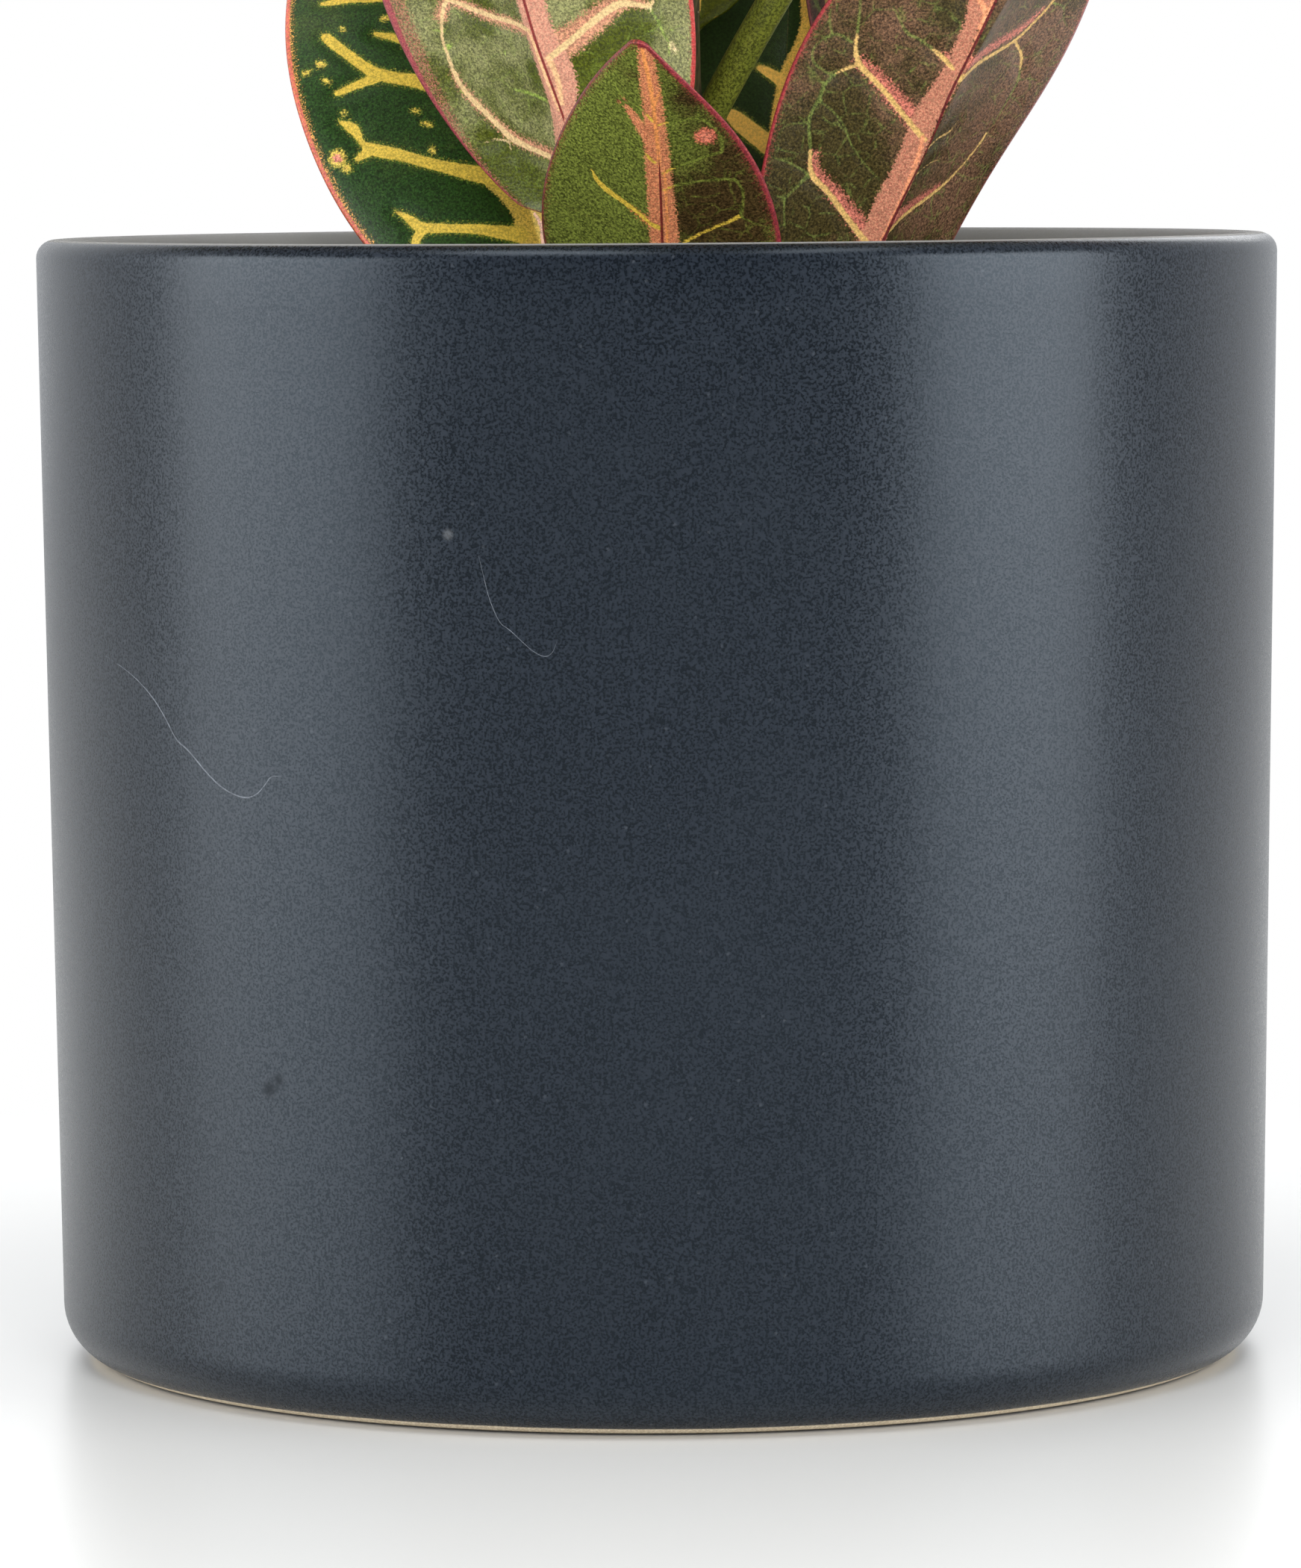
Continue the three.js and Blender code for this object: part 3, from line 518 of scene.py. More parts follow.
class Venation:
    """The veins of one blade by the rule of the species: pinnate, bowed towards the tip, forked and looped."""

    def __init__(self, leaf, seed, apart=VEINS["apart"], bold=1.0):
        self.leaf, self.draw, self.apart, self.bold = leaf, Draws(seed), apart, bold
        self.strokes = {kind: [] for kind in MARKINGS}
        self.add_midrib()
        for side in (-1, 1):
            self.add_side(side)
        self.add_spots()

    def add(self, kind, stroke, ends):
        self.strokes[kind].append(widened(stroke, *ends))

    def at(self, u, v, half=0.0):
        return np.array([v * half_width(self.leaf, np.clip(u, 0.001, 0.999)), u * self.leaf["blade"], half])

    def add_midrib(self):
        shares = np.linspace(VEINS["start"], VEINS["end"], 24)
        band = [(VEINS["wander"] * math.sin(7 * u), u * self.leaf["blade"],
                 self.bold * mix(VEINS["band"], max(u, 0) ** 0.8)) for u in shares]
        self.strokes["band"].append(np.array(band))
        # the dark line down the midrib is painted shade in its groove; the relief also sinks it
        self.strokes["line"].append(np.array([(0, u * self.leaf["blade"], VEINS["line"]) for u in shares[:-1]]))

    def lateral(self, u, side):
        rise = 2 * self.leaf["half_width"] / self.leaf["blade"] * (VEINS["rise"] + 0.05 * self.draw())
        bow, sway = VEINS["bow"] + 0.2 * self.draw(), VEINS["sway"] * self.draw()
        shares = np.linspace(0, 1, 9)
        along = np.minimum(u + rise * shares ** bow + sway * np.sin(shares * 9), VEINS["furthest"])
        across = side * VEINS["reach"] * (1.12 * shares - 0.12 * shares ** 4)
        return np.array([self.at(a, c) for a, c in zip(along, across)])

    def add_side(self, side):
        u, last = VEINS["first"] + 0.02 * self.draw(), None
        while u < VEINS["last"]:
            lateral = self.lateral(u, side)
            size = self.bold * (0.5 + 0.5 * math.sin(math.pi * min(u + 0.15, 1)) ** 0.5)
            stop = 7 if self.draw() > 0 else 9
            path = rounded(lateral)
            self.add("core", path[: len(path) * stop // 9], (VEINS["core"][0] * size, VEINS["core"][1]))
            self.add("halo", path[: len(path) * (stop - 1) // 9], (VEINS["halo"][0] * size, VEINS["halo"][1]))
            self.add("green", path, VEINS["green"])
            if self.draw() > -0.2:
                self.add_fork(lateral, side, size)
            if last is not None:
                self.add_net(last, lateral)
            last = lateral
            u += (self.apart + VEINS["uneven"] * self.draw()) / self.leaf["blade"]

    def add_fork(self, lateral, side, size):
        fork = lateral[4 + (self.draw() > 0)]
        up = VEINS["fork_up"] + VEINS["fork_change"] * self.draw()
        tip = lateral[-1] + np.array([-side * VEINS["fork_out"], up, 0])
        bent = rounded([fork, (fork + tip) / 2 + np.array([side, 1.0, 0]), tip])
        self.add("core", bent[: len(bent) * 2 // 3], (VEINS["fork"][0] * size, VEINS["fork"][1]))
        self.add("green", bent, VEINS["fork_green"])

    def add_net(self, last, lateral):
        """Fine veins across the field between two laterals."""
        for share in (2, 4, 6):
            low = last[share + (self.draw() > 0)]
            high = lateral[max(share - 1 + (self.draw() > 0), 1)]
            bend = np.array([VEINS["net_change"] * self.draw(), VEINS["net_change"] * self.draw(), 0])
            self.add("green", rounded([low, (low + high) / 2 + bend, high]), VEINS["net"])

    def add_spots(self):
        (along, change), across = VEINS["spot_along"], VEINS["spot_across"]
        for _ in range(VEINS["spots"]):
            place = self.at(along + change * self.draw(), across * self.draw(),
                            VEINS["spot"] + VEINS["spot_change"] * self.draw())
            self.strokes["spot"].append(np.array([place, place + [0.05, 0.05, 0]]))


# ---------------------------------------------------------------- the markings seen in the photograph

# Strokes on the leaves above the rim, read off the photograph: points (right, down, half width) in its pixels.
SEEN = {
    "leaf_left_back": {
        "band": [[(653, 235, 14), (689, 263, 16), (709, 293, 20), (717, 325, 22), (722, 345, 20)]],
        "bright": [[(715, 286, 1.5), (725, 302, 3), (729, 326, 3.5)]],
        "core": [
            [(432, 4, 3), (445, 3, 5.5), (470, 1, 3), (500, 0, 3), (525, -3, 4), (548, -10, 6)],
            [(503, 45, 3.5), (514, 48, 5), (530, 50, 6), (545, 57, 8)],
            [(580, 113, 14), (564, 110, 12.5), (538, 105, 9.5), (505, 100, 10), (487, 88, 8), (462, 70, 7.5),
             (444, 56, 8), (436, 50, 7)],
            [(503, 104, 8), (482, 112, 6.5), (467, 118, 5.5), (455, 123, 5), (451, 125, 3)],
            [(680, 246, 17), (661, 237, 15), (635, 231, 12.5), (602, 224, 9.5), (569, 217, 8.3), (538, 207, 8.3),
             (513, 202, 9.5), (494, 199, 9), (484, 190, 2)], [(494, 203, 8), (480, 212, 4)],
            [(485, 191, 3.5), (480, 182, 4.5), (472, 172, 8.5), (463, 167, 6), (456, 163, 2.5)],
            [(695, 314, 13), (668, 310, 10), (646, 306, 8), (615, 305, 6.5), (582, 304, 7), (564, 305, 8),
             (549, 294, 6), (537, 287, 3), (528, 283, 1)], [(566, 306, 8), (558, 318, 6), (555, 334, 5)]
        ],
        "spot": [
            [(452, 212, 11), (453, 213, 11)], [(428, 86, 4.5), (430, 87, 4.5)], [(464, 225, 5), (465, 226, 5)],
            [(441, 111, 2.5), (433, 108, 1.5)], [(556, 148, 3), (560, 150, 1.5)], [(569, 166, 2.5), (577, 167, 2.5)],
            [(579, 201, 3), (580, 203, 3)], [(515, 25, 3.5), (519, 24, 3.5)], [(459, 39, 2), (460, 40, 2)],
            [(409, 99, 3), (413, 97, 1.5)], [(459, 153, 2), (461, 151, 1.5)]
        ],
    },
    "leaf_left_front": {
        "band": [
            [(703, -26, 18), (709, -3, 18), (717, 30, 18), (728, 60, 20), (738, 82, 23), (748, 108, 24),
             (752, 132, 20), (750, 158, 15), (749, 185, 10), (751, 206, 6)]
        ],
        "line": [[(696, -24, 1.6), (702, 0, 1.6), (718, 51, 1.5), (741, 115, 1.4), (756, 158, 1.2)]],
        "bright": [
            [(709, 41, 2.5), (717, 59, 2.5), (725, 79, 2.5), (737, 112, 2.5), (751, 146, 2)],
            [(737, 77, 3.5), (744, 97, 3), (749, 115, 3), (755, 140, 2)]
        ],
        "core": [
            [(709, 39, 4), (689, 31, 3.5), (661, 23, 3.5), (635, 13, 3.5), (615, 5, 3), (602, 1, 3)],
            [(737, 210, 3.5), (712, 199, 4), (684, 186, 4.5), (661, 163, 4), (635, 138, 4), (618, 117, 3.5),
             (605, 94, 3), (597, 71, 2.2), (591, 46, 2.2), (591, 20, 3), (595, 5, 3), (606, -8, 3)],
            [(738, 77, 4), (764, 56, 4), (790, 33, 4.5), (813, 14, 5), (833, 3, 5), (858, 8, 3), (869, 10, 2.5),
             (876, 2, 2)], [(682, 184, 2), (685, 203, 0.6)], [(680, 188, 1.6), (664, 186, 1.2), (648, 190, 0.5)]
        ],
        "halo": [
            [(709, 41, 9), (689, 33, 8), (661, 24, 7.5), (635, 13, 7), (615, 4, 7), (600, -1, 6)],
            [(737, 207, 8), (712, 197, 7.5), (684, 184, 7), (661, 161, 6), (635, 137, 5.5), (618, 116, 5),
             (607, 97, 4)], [(743, 66, 21), (770, 48, 17), (795, 28, 15), (820, 8, 13), (838, 0, 9), (862, 6, 5)],
            [(591, 22, 8), (596, 2, 8), (606, -10, 8)]
        ],
        "green": [
            [(689, 119, 1.4), (704, 122, 2), (717, 127, 2.4), (743, 140, 2)],
            [(869, 13, 1.6), (882, 26, 1.4), (889, 46, 1.6), (897, 58, 1.6), (896, 75, 1)],
            [(597, 66, 3.5), (600, 62, 4.5), (605, 60, 1.5)], [(592, 42, 2), (580, 39, 0.8)],
            [(618, 122, 3), (621, 125, 2.5)], [(677, 75, 0.8), (677, 68, 1.8)],
            [(884, 28, 1), (878, 40, 0.8), (868, 44, 0.6)], [(897, 40, 1), (912, 34, 0.7)]
        ],
        "spot": [[(900, 62, 4), (904, 66, 3)], [(865, 10, 3), (869, 9, 3)]],
    },
    "leaf_centre_front": {
        "band": [
            [(861, 53, 3), (863, 61, 8), (868, 100, 11.5), (876, 150, 12.5), (880, 204, 15.5), (885, 255, 16),
             (890, 320, 18.5), (892, 345, 19)], [(840, 144, 4), (850, 157, 8), (861, 172, 9), (872, 190, 9)]
        ],
        "line": [[(882, 200, 0.1), (883, 218, 0.3), (885, 240, 1.3), (886, 268, 1.5), (888, 345, 1.7)]],
        "bright": [
            [(858, 58, 2), (869, 102, 2.6), (876, 143, 2.4), (881, 191, 2.4), (883, 222, 1.5)],
            [(890, 228, 1.5), (892, 260, 1.6), (894, 345, 1.8)], [(876, 143, 2.5), (884, 122, 1)]
        ],
        "core": [
            [(884, 305, 3.5), (859, 288, 3.2), (833, 270, 4.2), (813, 255, 4.6), (800, 242, 3.6), (792, 227, 1)],
            [(878, 218, 2), (865, 206, 1.6)], [(876, 163, 2), (866, 153, 1.4)], [(882, 168, 2), (894, 165, 1.2)],
            [(889, 232, 2.4), (903, 225, 1.4)], [(890, 255, 2.4), (903, 249, 1.4)],
            [(955, 306, 2.2), (975, 298, 2.2), (990, 291, 3)], [(916, 325, 2.5), (935, 315, 2), (955, 306, 2)]
        ],
        "halo": [[(880, 303, 7), (860, 289, 5), (846, 280, 2)]],
        "green": [
            [(865, 206, 1.6), (856, 199, 1.8), (830, 179, 1.5), (812, 164, 1), (806, 162, 0.6)],
            [(866, 153, 1.5), (859, 145, 1.6), (838, 133, 1.5), (828, 122, 1.3), (824, 112, 0.8)],
            [(828, 120, 1), (820, 106, 0.8), (813, 97, 0.6)], [(834, 92, 0.8), (847, 98, 0.8), (852, 110, 0.6)],
            [(777, 325, 1.4), (759, 293, 1.6), (755, 272, 1)], [(758, 293, 2), (761, 291, 1)],
            [(894, 165, 1.6), (904, 163, 1.6), (935, 156, 1.4), (945, 163, 1.8), (960, 174, 1.8), (968, 190, 2),
             (967, 203, 2.6)], [(935, 156, 1), (937, 142, 0.6)],
            [(903, 225, 2), (920, 218, 1.8), (945, 209, 2), (966, 204, 2.4)],
            [(903, 249, 2), (925, 244, 1.6), (948, 240, 1.6), (984, 239, 1.6), (990, 247, 1.4), (996, 257, 1.6),
             (995, 275, 1.4), (991, 291, 2.4)], [(984, 239, 1.2), (990, 229, 0.8)],
            [(991, 291, 1.2), (1010, 298, 0.8), (1028, 304, 0.5)],
            [(925, 262, 0.8), (948, 265, 0.8), (965, 258, 0.6)], [(930, 292, 0.7), (945, 280, 0.7), (958, 272, 0.5)],
            [(788, 232, 1), (776, 240, 0.6)]
        ],
        "spot": [
            [(945, 181, 13), (946, 182, 13)], [(829, 136, 1.2), (830, 137, 1.2)], [(836, 132, 1), (837, 133, 1)]
        ],
    },
    "leaf_right_front": {
        "band": [
            [(1328, -26, 16), (1315, -4, 16), (1305, 30, 10), (1292, 61, 10.5), (1279, 92, 12.5), (1262, 122, 13.5),
             (1242, 153, 16), (1229, 184, 15), (1217, 214, 15), (1203, 245, 16), (1188, 275, 17), (1174, 306, 15),
             (1160, 335, 15)]
        ],
        "line": [
            [(1345, -26, 1.6), (1334, 0, 1.6), (1294, 83, 1.6), (1269, 132, 1.6), (1242, 196, 1.8), (1214, 254, 1.8),
             (1181, 323, 2), (1172, 343, 2)]
        ],
        "bright": [
            [(1336, -12, 2), (1306, 55, 1.6), (1290, 88, 1.2)],
            [(1236, 184, 2.6), (1230, 208, 2.4), (1214, 245, 2.2), (1196, 285, 2), (1180, 320, 1.8)],
            [(1309, -6, 3), (1317, 6, 3.5), (1323, 16, 4), (1317, 27, 3), (1311, 39, 2)]
        ],
        "core": [
            [(1237, 185, 3.6), (1214, 159, 3.4), (1190, 129, 3.4), (1168, 104, 3.4), (1150, 86, 4), (1147, 62, 2.6),
             (1149, 45, 1.6)], [(1149, 87, 3), (1134, 92, 2.2), (1122, 98, 1.6)],
            [(1087, 202, 2), (1086, 220, 2.8), (1087, 236, 3.6), (1097, 244, 3.8), (1113, 260, 3.6), (1132, 288, 3.8),
             (1157, 318, 4), (1164, 328, 4)], [(1277, 93, 2.6), (1263, 77, 3.4), (1251, 67, 1.6)],
            [(1286, 105, 5), (1306, 89, 4), (1331, 73, 3.4), (1361, 55, 3), (1386, 31, 2.5), (1410, 4, 2.4),
             (1420, -10, 2)], [(1361, 56, 2), (1367, 68, 2), (1370, 80, 3), (1367, 92, 1.4)],
            [(1188, 308, 3.5), (1214, 286, 3.4), (1254, 257, 3.4), (1282, 230, 2.2), (1306, 202, 2),
             (1321, 181, 2.6)], [(1242, 197, 2.4), (1257, 184, 1.6), (1272, 178, 2), (1282, 165, 1)],
            [(1222, 237, 1.2), (1245, 220, 1), (1260, 214, 0.8)]
        ],
        "halo": [
            [(1234, 170, 12), (1216, 150, 11), (1193, 124, 10), (1172, 100, 8), (1153, 82, 6)],
            [(1158, 308, 11), (1135, 281, 9), (1116, 255, 8), (1099, 238, 6), (1090, 222, 5), (1092, 206, 3)],
            [(1296, 86, 9), (1325, 66, 8), (1352, 49, 6.5), (1375, 34, 5), (1396, 14, 3)],
            [(1196, 292, 9), (1228, 270, 8), (1256, 252, 5)], [(1283, 88, 7), (1268, 76, 5)]
        ],
        "green": [
            [(1149, 45, 1.8), (1150, 20, 1.6), (1152, -8, 1.4)],
            [(1122, 98, 2.2), (1104, 113, 2.4), (1098, 132, 2.8), (1086, 153, 2.2), (1083, 171, 2), (1086, 190, 2.2),
             (1087, 204, 2)], [(1104, 112, 2.2), (1098, 109, 1)], [(1098, 134, 3.2), (1101, 135, 2)],
            [(1144, 57, 1.6), (1128, 48, 1.6), (1115, 44, 1.8), (1098, 55, 1.2), (1089, 66, 1.2), (1087, 80, 1.4),
             (1100, 92, 1.2), (1116, 101, 1.4)], [(1115, 44, 1.2), (1110, 28, 1.2), (1116, -6, 1.2)],
            [(1086, 234, 4.6), (1079, 238, 2.4), (1061, 257, 1.5), (1051, 266, 1.7), (1050, 282, 1), (1051, 305, 1)],
            [(1080, 230, 1.4), (1055, 217, 1), (1034, 211, 0.8)], [(1051, 266, 1), (1040, 262, 0.7)],
            [(1081, 165, 1.3), (1062, 166, 1), (1050, 170, 1), (1043, 181, 0.8), (1042, 196, 0.6)],
            [(1098, 136, 1), (1119, 150, 1), (1133, 172, 1), (1138, 190, 0.8), (1159, 220, 0.7), (1180, 241, 0.7)],
            [(1251, 67, 2), (1239, 57, 1.6), (1226, 50, 1.6), (1214, 45, 2.2), (1206, 30, 1.1), (1196, 9, 0.9)],
            [(1367, 92, 1.6), (1365, 107, 2.2), (1352, 129, 1.4), (1337, 156, 1.3), (1322, 180, 1.2)],
            [(1370, 79, 1.2), (1386, 73, 1), (1395, 67, 1), (1404, 60, 0.6)],
            [(1366, 107, 1.2), (1378, 105, 1.2), (1390, 107, 0.7)],
            [(1352, 129, 1), (1364, 137, 0.7), (1369, 146, 0.5)],
            [(1251, 262, 1.4), (1247, 276, 1.2), (1249, 291, 0.8)],
            [(1282, 233, 1), (1300, 240, 0.9), (1316, 236, 0.6)],
            [(1410, 5, 1.2), (1428, 8, 1), (1424, 24, 0.8), (1430, 36, 0.6)], [(1272, 178, 1), (1268, 188, 1.2)],
            [(1321, 181, 1), (1330, 184, 0.8), (1342, 182, 0.5)]
        ],
        "spot": [],
    },
    "leaf_right_back": {
        "band": [
            [(1100, -30, 22), (1092, 0, 20), (1086, 25, 12), (1074, 58, 9), (1056, 90, 8), (1046, 130, 8),
             (1040, 180, 10), (1036, 240, 12)]
        ],
        "core": [
            [(1013, 88, 2), (1022, 92, 6), (1036, 100, 8), (1056, 116, 10)],
            [(973, 148, 5), (985, 158, 12), (1006, 176, 13), (1034, 198, 14)]
        ],
        "spot": [],
    },
    "leaf_middle_back": {
        "core": [[(967, 38, 1.5), (974, 45, 3), (983, 56, 1)], [(938, -30, 4), (936, 10, 2), (934, 40, 1)]],
        "spot": [],
    },
}
# Where a blade's second ground colour shows there: (right, down, radius in pixels, how much).
PATCHES = {
    "leaf_left_back": [
        (420, 40, 60, 0.5), (600, 170, 70, 0.3)
    ],
    # painted sheen: on this leaf the grey-green second colour stands in for reflected sky
    "leaf_left_front": [
        (910, 70, 50, 0.45), (762, 14, 30, 0.6), (560, 60, 40, 0.3), (690, 150, 40, 0.2), (690, 245, 60, -0.6),
        (785, 90, 40, -1.8), (845, 42, 26, -1.2), (745, 175, 24, 0.5), (650, 30, 24, -0.5), (715, 95, 16, -0.5),
        (655, 200, 36, -0.3), (590, 130, 30, -0.2)
    ],
    # painted shade: the dark brown second colour on this leaf's right half stands in for the shaded far side of its
    # fold
    "leaf_centre_front": [
        (975, 290, 85, 1.2), (990, 200, 50, 0.7), (930, 122, 40, 0.7), (935, 165, 30, 0.4), (790, 280, 70, -0.6),
        (800, 190, 60, -0.3), (840, 95, 25, 0.35), (915, 200, 30, -0.2)
    ],
    "leaf_right_front": [
        (1132, 171, 42, 0.8), (1175, 262, 38, 0.5), (1110, 290, 34, 0.6), (1048, 286, 46, 0.8), (1275, 15, 22, 0.5),
        (1150, 215, 30, 0.4), (1078, 246, 44, 0.7), (1053, 185, 42, 0.6), (1345, 150, 50, -0.8), (1390, 60, 50, -0.9),
        (1290, 240, 40, -0.6)
    ],
}
# What can't be seen of a leaf in the photograph, in its pixels: it is cut off by the picture's top edge and by the
# pot's rim, and a leaf in front hides it to one side of a line. "leaning" is how far that line moves to the right for
# each pixel down.
PICTURE_TOP, RIM = -14, 345
HIDDEN = {
    "leaf_left_back": dict(below=340, right_of=560, leaning=0.62),
    "leaf_right_back": dict(below=210, right_of=1100, leaning=-0.35),
    "leaf_middle_back": dict(below=70, left_of=925),
}
GREEN_EDGE = 0.22  # how far the green edge of a yellow vein reaches past it, in millimetres


def is_hidden(name, across, down):
    limit = HIDDEN.get(name, {})
    hidden = (down < PICTURE_TOP) | (down > limit.get("below", RIM))
    if "right_of" in limit:
        hidden |= across > limit["right_of"] + limit["leaning"] * down
    if "left_of" in limit:
        hidden |= across < limit["left_of"]
    return hidden


class SeenVenation(Venation):
    """The markings of a leaf in the photograph: those seen are as seen, and the rule gives the rest."""

    def __init__(self, leaf, seed, name, face):
        super().__init__(leaf, seed)
        self.name, self.face = name, face
        u, v = (grid.ravel() for grid in np.meshgrid(np.linspace(0, 1, 420), np.linspace(-1, 1, 161), indexing="ij"))
        self.flat = np.stack([v * half_width(leaf, u), u * leaf["blade"]], -1)
        self.picture = self.seen(u, v, face * BLADE["half_thickness"])
        for kind, strokes in self.strokes.items():
            self.strokes[kind] = [part for stroke in strokes for part in self.hidden_parts(kind, stroke)]
        for kind, strokes in SEEN[name].items():
            self.strokes[kind] += [rounded(self.on_blade(stroke)) for stroke in strokes]
        if "halo" not in SEEN[name]:
            yellow = self.strokes["core"] + self.strokes["spot"]
            self.strokes["halo"] = [stroke + [0, 0, GREEN_EDGE] for stroke in yellow]

    def seen(self, u, v, offset):
        return seen_at(leaf_points(self.leaf, share_at(self.leaf, u), v, self.face, 90, offset))

    def hidden_parts(self, kind, stroke):
        """What stays of a stroke of the rule: of the midrib the parts out of sight, of the rest what is all hidden."""
        u = np.clip(stroke[:, 1] / self.leaf["blade"], 0.001, 0.999)
        v = np.clip(stroke[:, 0] / half_width(self.leaf, u), -1, 1)
        out = is_hidden(self.name, *self.seen(u, v, 0).T)
        if kind not in ("band", "line"):
            return [stroke] if out.all() else []
        runs = np.split(np.arange(len(stroke)), np.nonzero(np.diff(out.astype(int)))[0] + 1)
        return [stroke[run] for run in runs if out[run[0]] and len(run) > 1]

    def patches(self):
        """Soft patches of the second ground colour as (place, radius, how much) on the flat blade."""
        rows = np.array(PATCHES.get(self.name, []), dtype=float).reshape(-1, 4)
        return [(place[:2], place[2], weight) for place, weight in zip(self.on_blade(rows[:, :3]), rows[:, 3])]

    def on_blade(self, stroke):
        stroke = np.array(stroke, dtype=float)
        gaps = ((stroke[:, None, :2] - self.picture[None]) ** 2).sum(-1)
        return np.concatenate([self.flat[gaps.argmin(1)], stroke[:, 2:] * PIXEL], 1)


# ---------------------------------------------------------------- finishes: helpers

def colour(red, green, blue):
    """A linear colour from one read in sRGB from 0 to 255."""
    def linear(value):
        value /= 255
        return value / 12.92 if value <= 0.04045 else ((value + 0.055) / 1.055) ** 2.4
    return linear(red), linear(green), linear(blue), 1


class Recipe:
    """The nodes of one finish or of one shared effect, put down in short calls."""

    def __init__(self, tree):
        self.tree = tree

    def node(self, kind, inputs=None, **settings):
        node = self.tree.nodes.new("ShaderNode" + kind)
        for name, value in settings.items():
            setattr(node, name, value)
        for name, value in (inputs or {}).items():
            self.feed(node.inputs[name], value)
        return node

    def feed(self, socket, value):
        if isinstance(value, bpy.types.NodeSocket):
            self.tree.links.new(value, socket)
        else:
            socket.default_value = value

    def field(self, name):
        return self.node("Attribute", attribute_name=name).outputs["Fac"]

    def math(self, operation, first, second=0.0):
        return self.node("Math", {0: first, 1: second}, operation=operation).outputs[0]

    def plus(self, first, second):
        return self.math("ADD", first, second)

    def less(self, first, second):
        return self.math("SUBTRACT", first, second)

    def times(self, first, second):
        return self.math("MULTIPLY", first, second)

    def most(self, first, second):
        return self.math("MAXIMUM", first, second)

    def centred(self, value, share):
        """A value about 0.5 turned into one about 0."""
        return self.times(self.less(value, 0.5), share)

    def fade(self, value, start, end, low=0.0, high=1.0):
        """low where value is under start, high where it is over end, and smooth between."""
        return self.node(
            "MapRange", {"Value": value, "From Min": start, "From Max": end, "To Min": low, "To Max": high},
            interpolation_type="SMOOTHSTEP").outputs["Result"]

    def within(self, distance, softness):
        """1 inside the edge of a marking and 0 outside it."""
        return self.fade(distance, -softness, softness, 1.0, 0.0)

    def blend(self, share, under, over, mode="MIX"):
        return self.node("Mix", {0: share, 6: under, 7: over}, data_type="RGBA", blend_type=mode).outputs[2]

    def two_tones(self, share, dark, light):
        """Two colours, written in sRGB, that change places with a mask."""
        return self.blend(share, colour(*dark), colour(*light))

    def laid_on(self, body, share, tone):
        """A colour, written in sRGB, laid on the body where a mask says."""
        return self.blend(share, body, colour(*tone))

    def noise(self, place, scale, detail=3.0, roughness=0.55):
        return self.node("TexNoise", {"Vector": place, "Scale": scale, "Detail": detail, "Roughness": roughness}
                         ).outputs["Fac"]

    def cells(self, place, scale, feature="DISTANCE_TO_EDGE"):
        return self.node("TexVoronoi", {"Vector": place, "Scale": scale}, feature=feature).outputs["Distance"]

    def scaled(self, place, factors):
        return self.node("VectorMath", {0: place, 1: factors}, operation="MULTIPLY").outputs["Vector"]

    def length(self, place):
        return self.node("VectorMath", {0: place}, operation="LENGTH").outputs["Value"]

    def distance(self, place, mark):
        return self.node("VectorMath", {0: place, 1: MARKS[mark]}, operation="DISTANCE").outputs["Value"]

    def level(self, place):
        return self.node("SeparateXYZ", {"Vector": place}).outputs["Z"]


class Finish(Recipe):
    """A material on one Principled shader, whose sockets are its skin."""

    def __init__(self, name):
        self.material = bpy.data.materials.new(name)
        self.material.use_nodes = True
        super().__init__(self.material.node_tree)
        self.tree.nodes.clear()
        self.output = self.node("OutputMaterial").inputs["Surface"]
        shader = self.node("BsdfPrincipled")
        self.skin, self.shaded = shader.inputs, shader.outputs["BSDF"]
        self.feed(self.output, self.shaded)

    def object_place(self):
        return self.node("TexCoord").outputs["Object"]

    def set(self, **sockets):
        """Feeds the sockets of the shader, written as they are named but with _ for a space."""
        for name, value in sockets.items():
            self.feed(self.skin[name.replace("_", " ")], value)

    def bump(self, strength, depth, height):
        relief = self.node("Bump", {"Strength": strength, "Distance": depth, "Height": height})
        self.feed(self.skin["Normal"], relief.outputs["Normal"])


def shared_effect(name, inputs, outputs):
    """A node group with named inputs and outputs; returns it with a Recipe for its inside and its two ends."""
    group = bpy.data.node_groups.new(name, "ShaderNodeTree")
    for label, default in inputs.items():
        kind = {float: "NodeSocketFloat", tuple: "NodeSocketColor"}.get(type(default), "NodeSocketVector")
        socket = group.interface.new_socket(label, in_out="INPUT", socket_type=kind)
        if default is not None:
            socket.default_value = default
    for label, kind in outputs.items():
        group.interface.new_socket(label, in_out="OUTPUT", socket_type="NodeSocket" + kind)
    recipe = Recipe(group)
    return group, recipe, group.nodes.new("NodeGroupInput").outputs, group.nodes.new("NodeGroupOutput").inputs


# ---------------------------------------------------------------- finishes: leaves

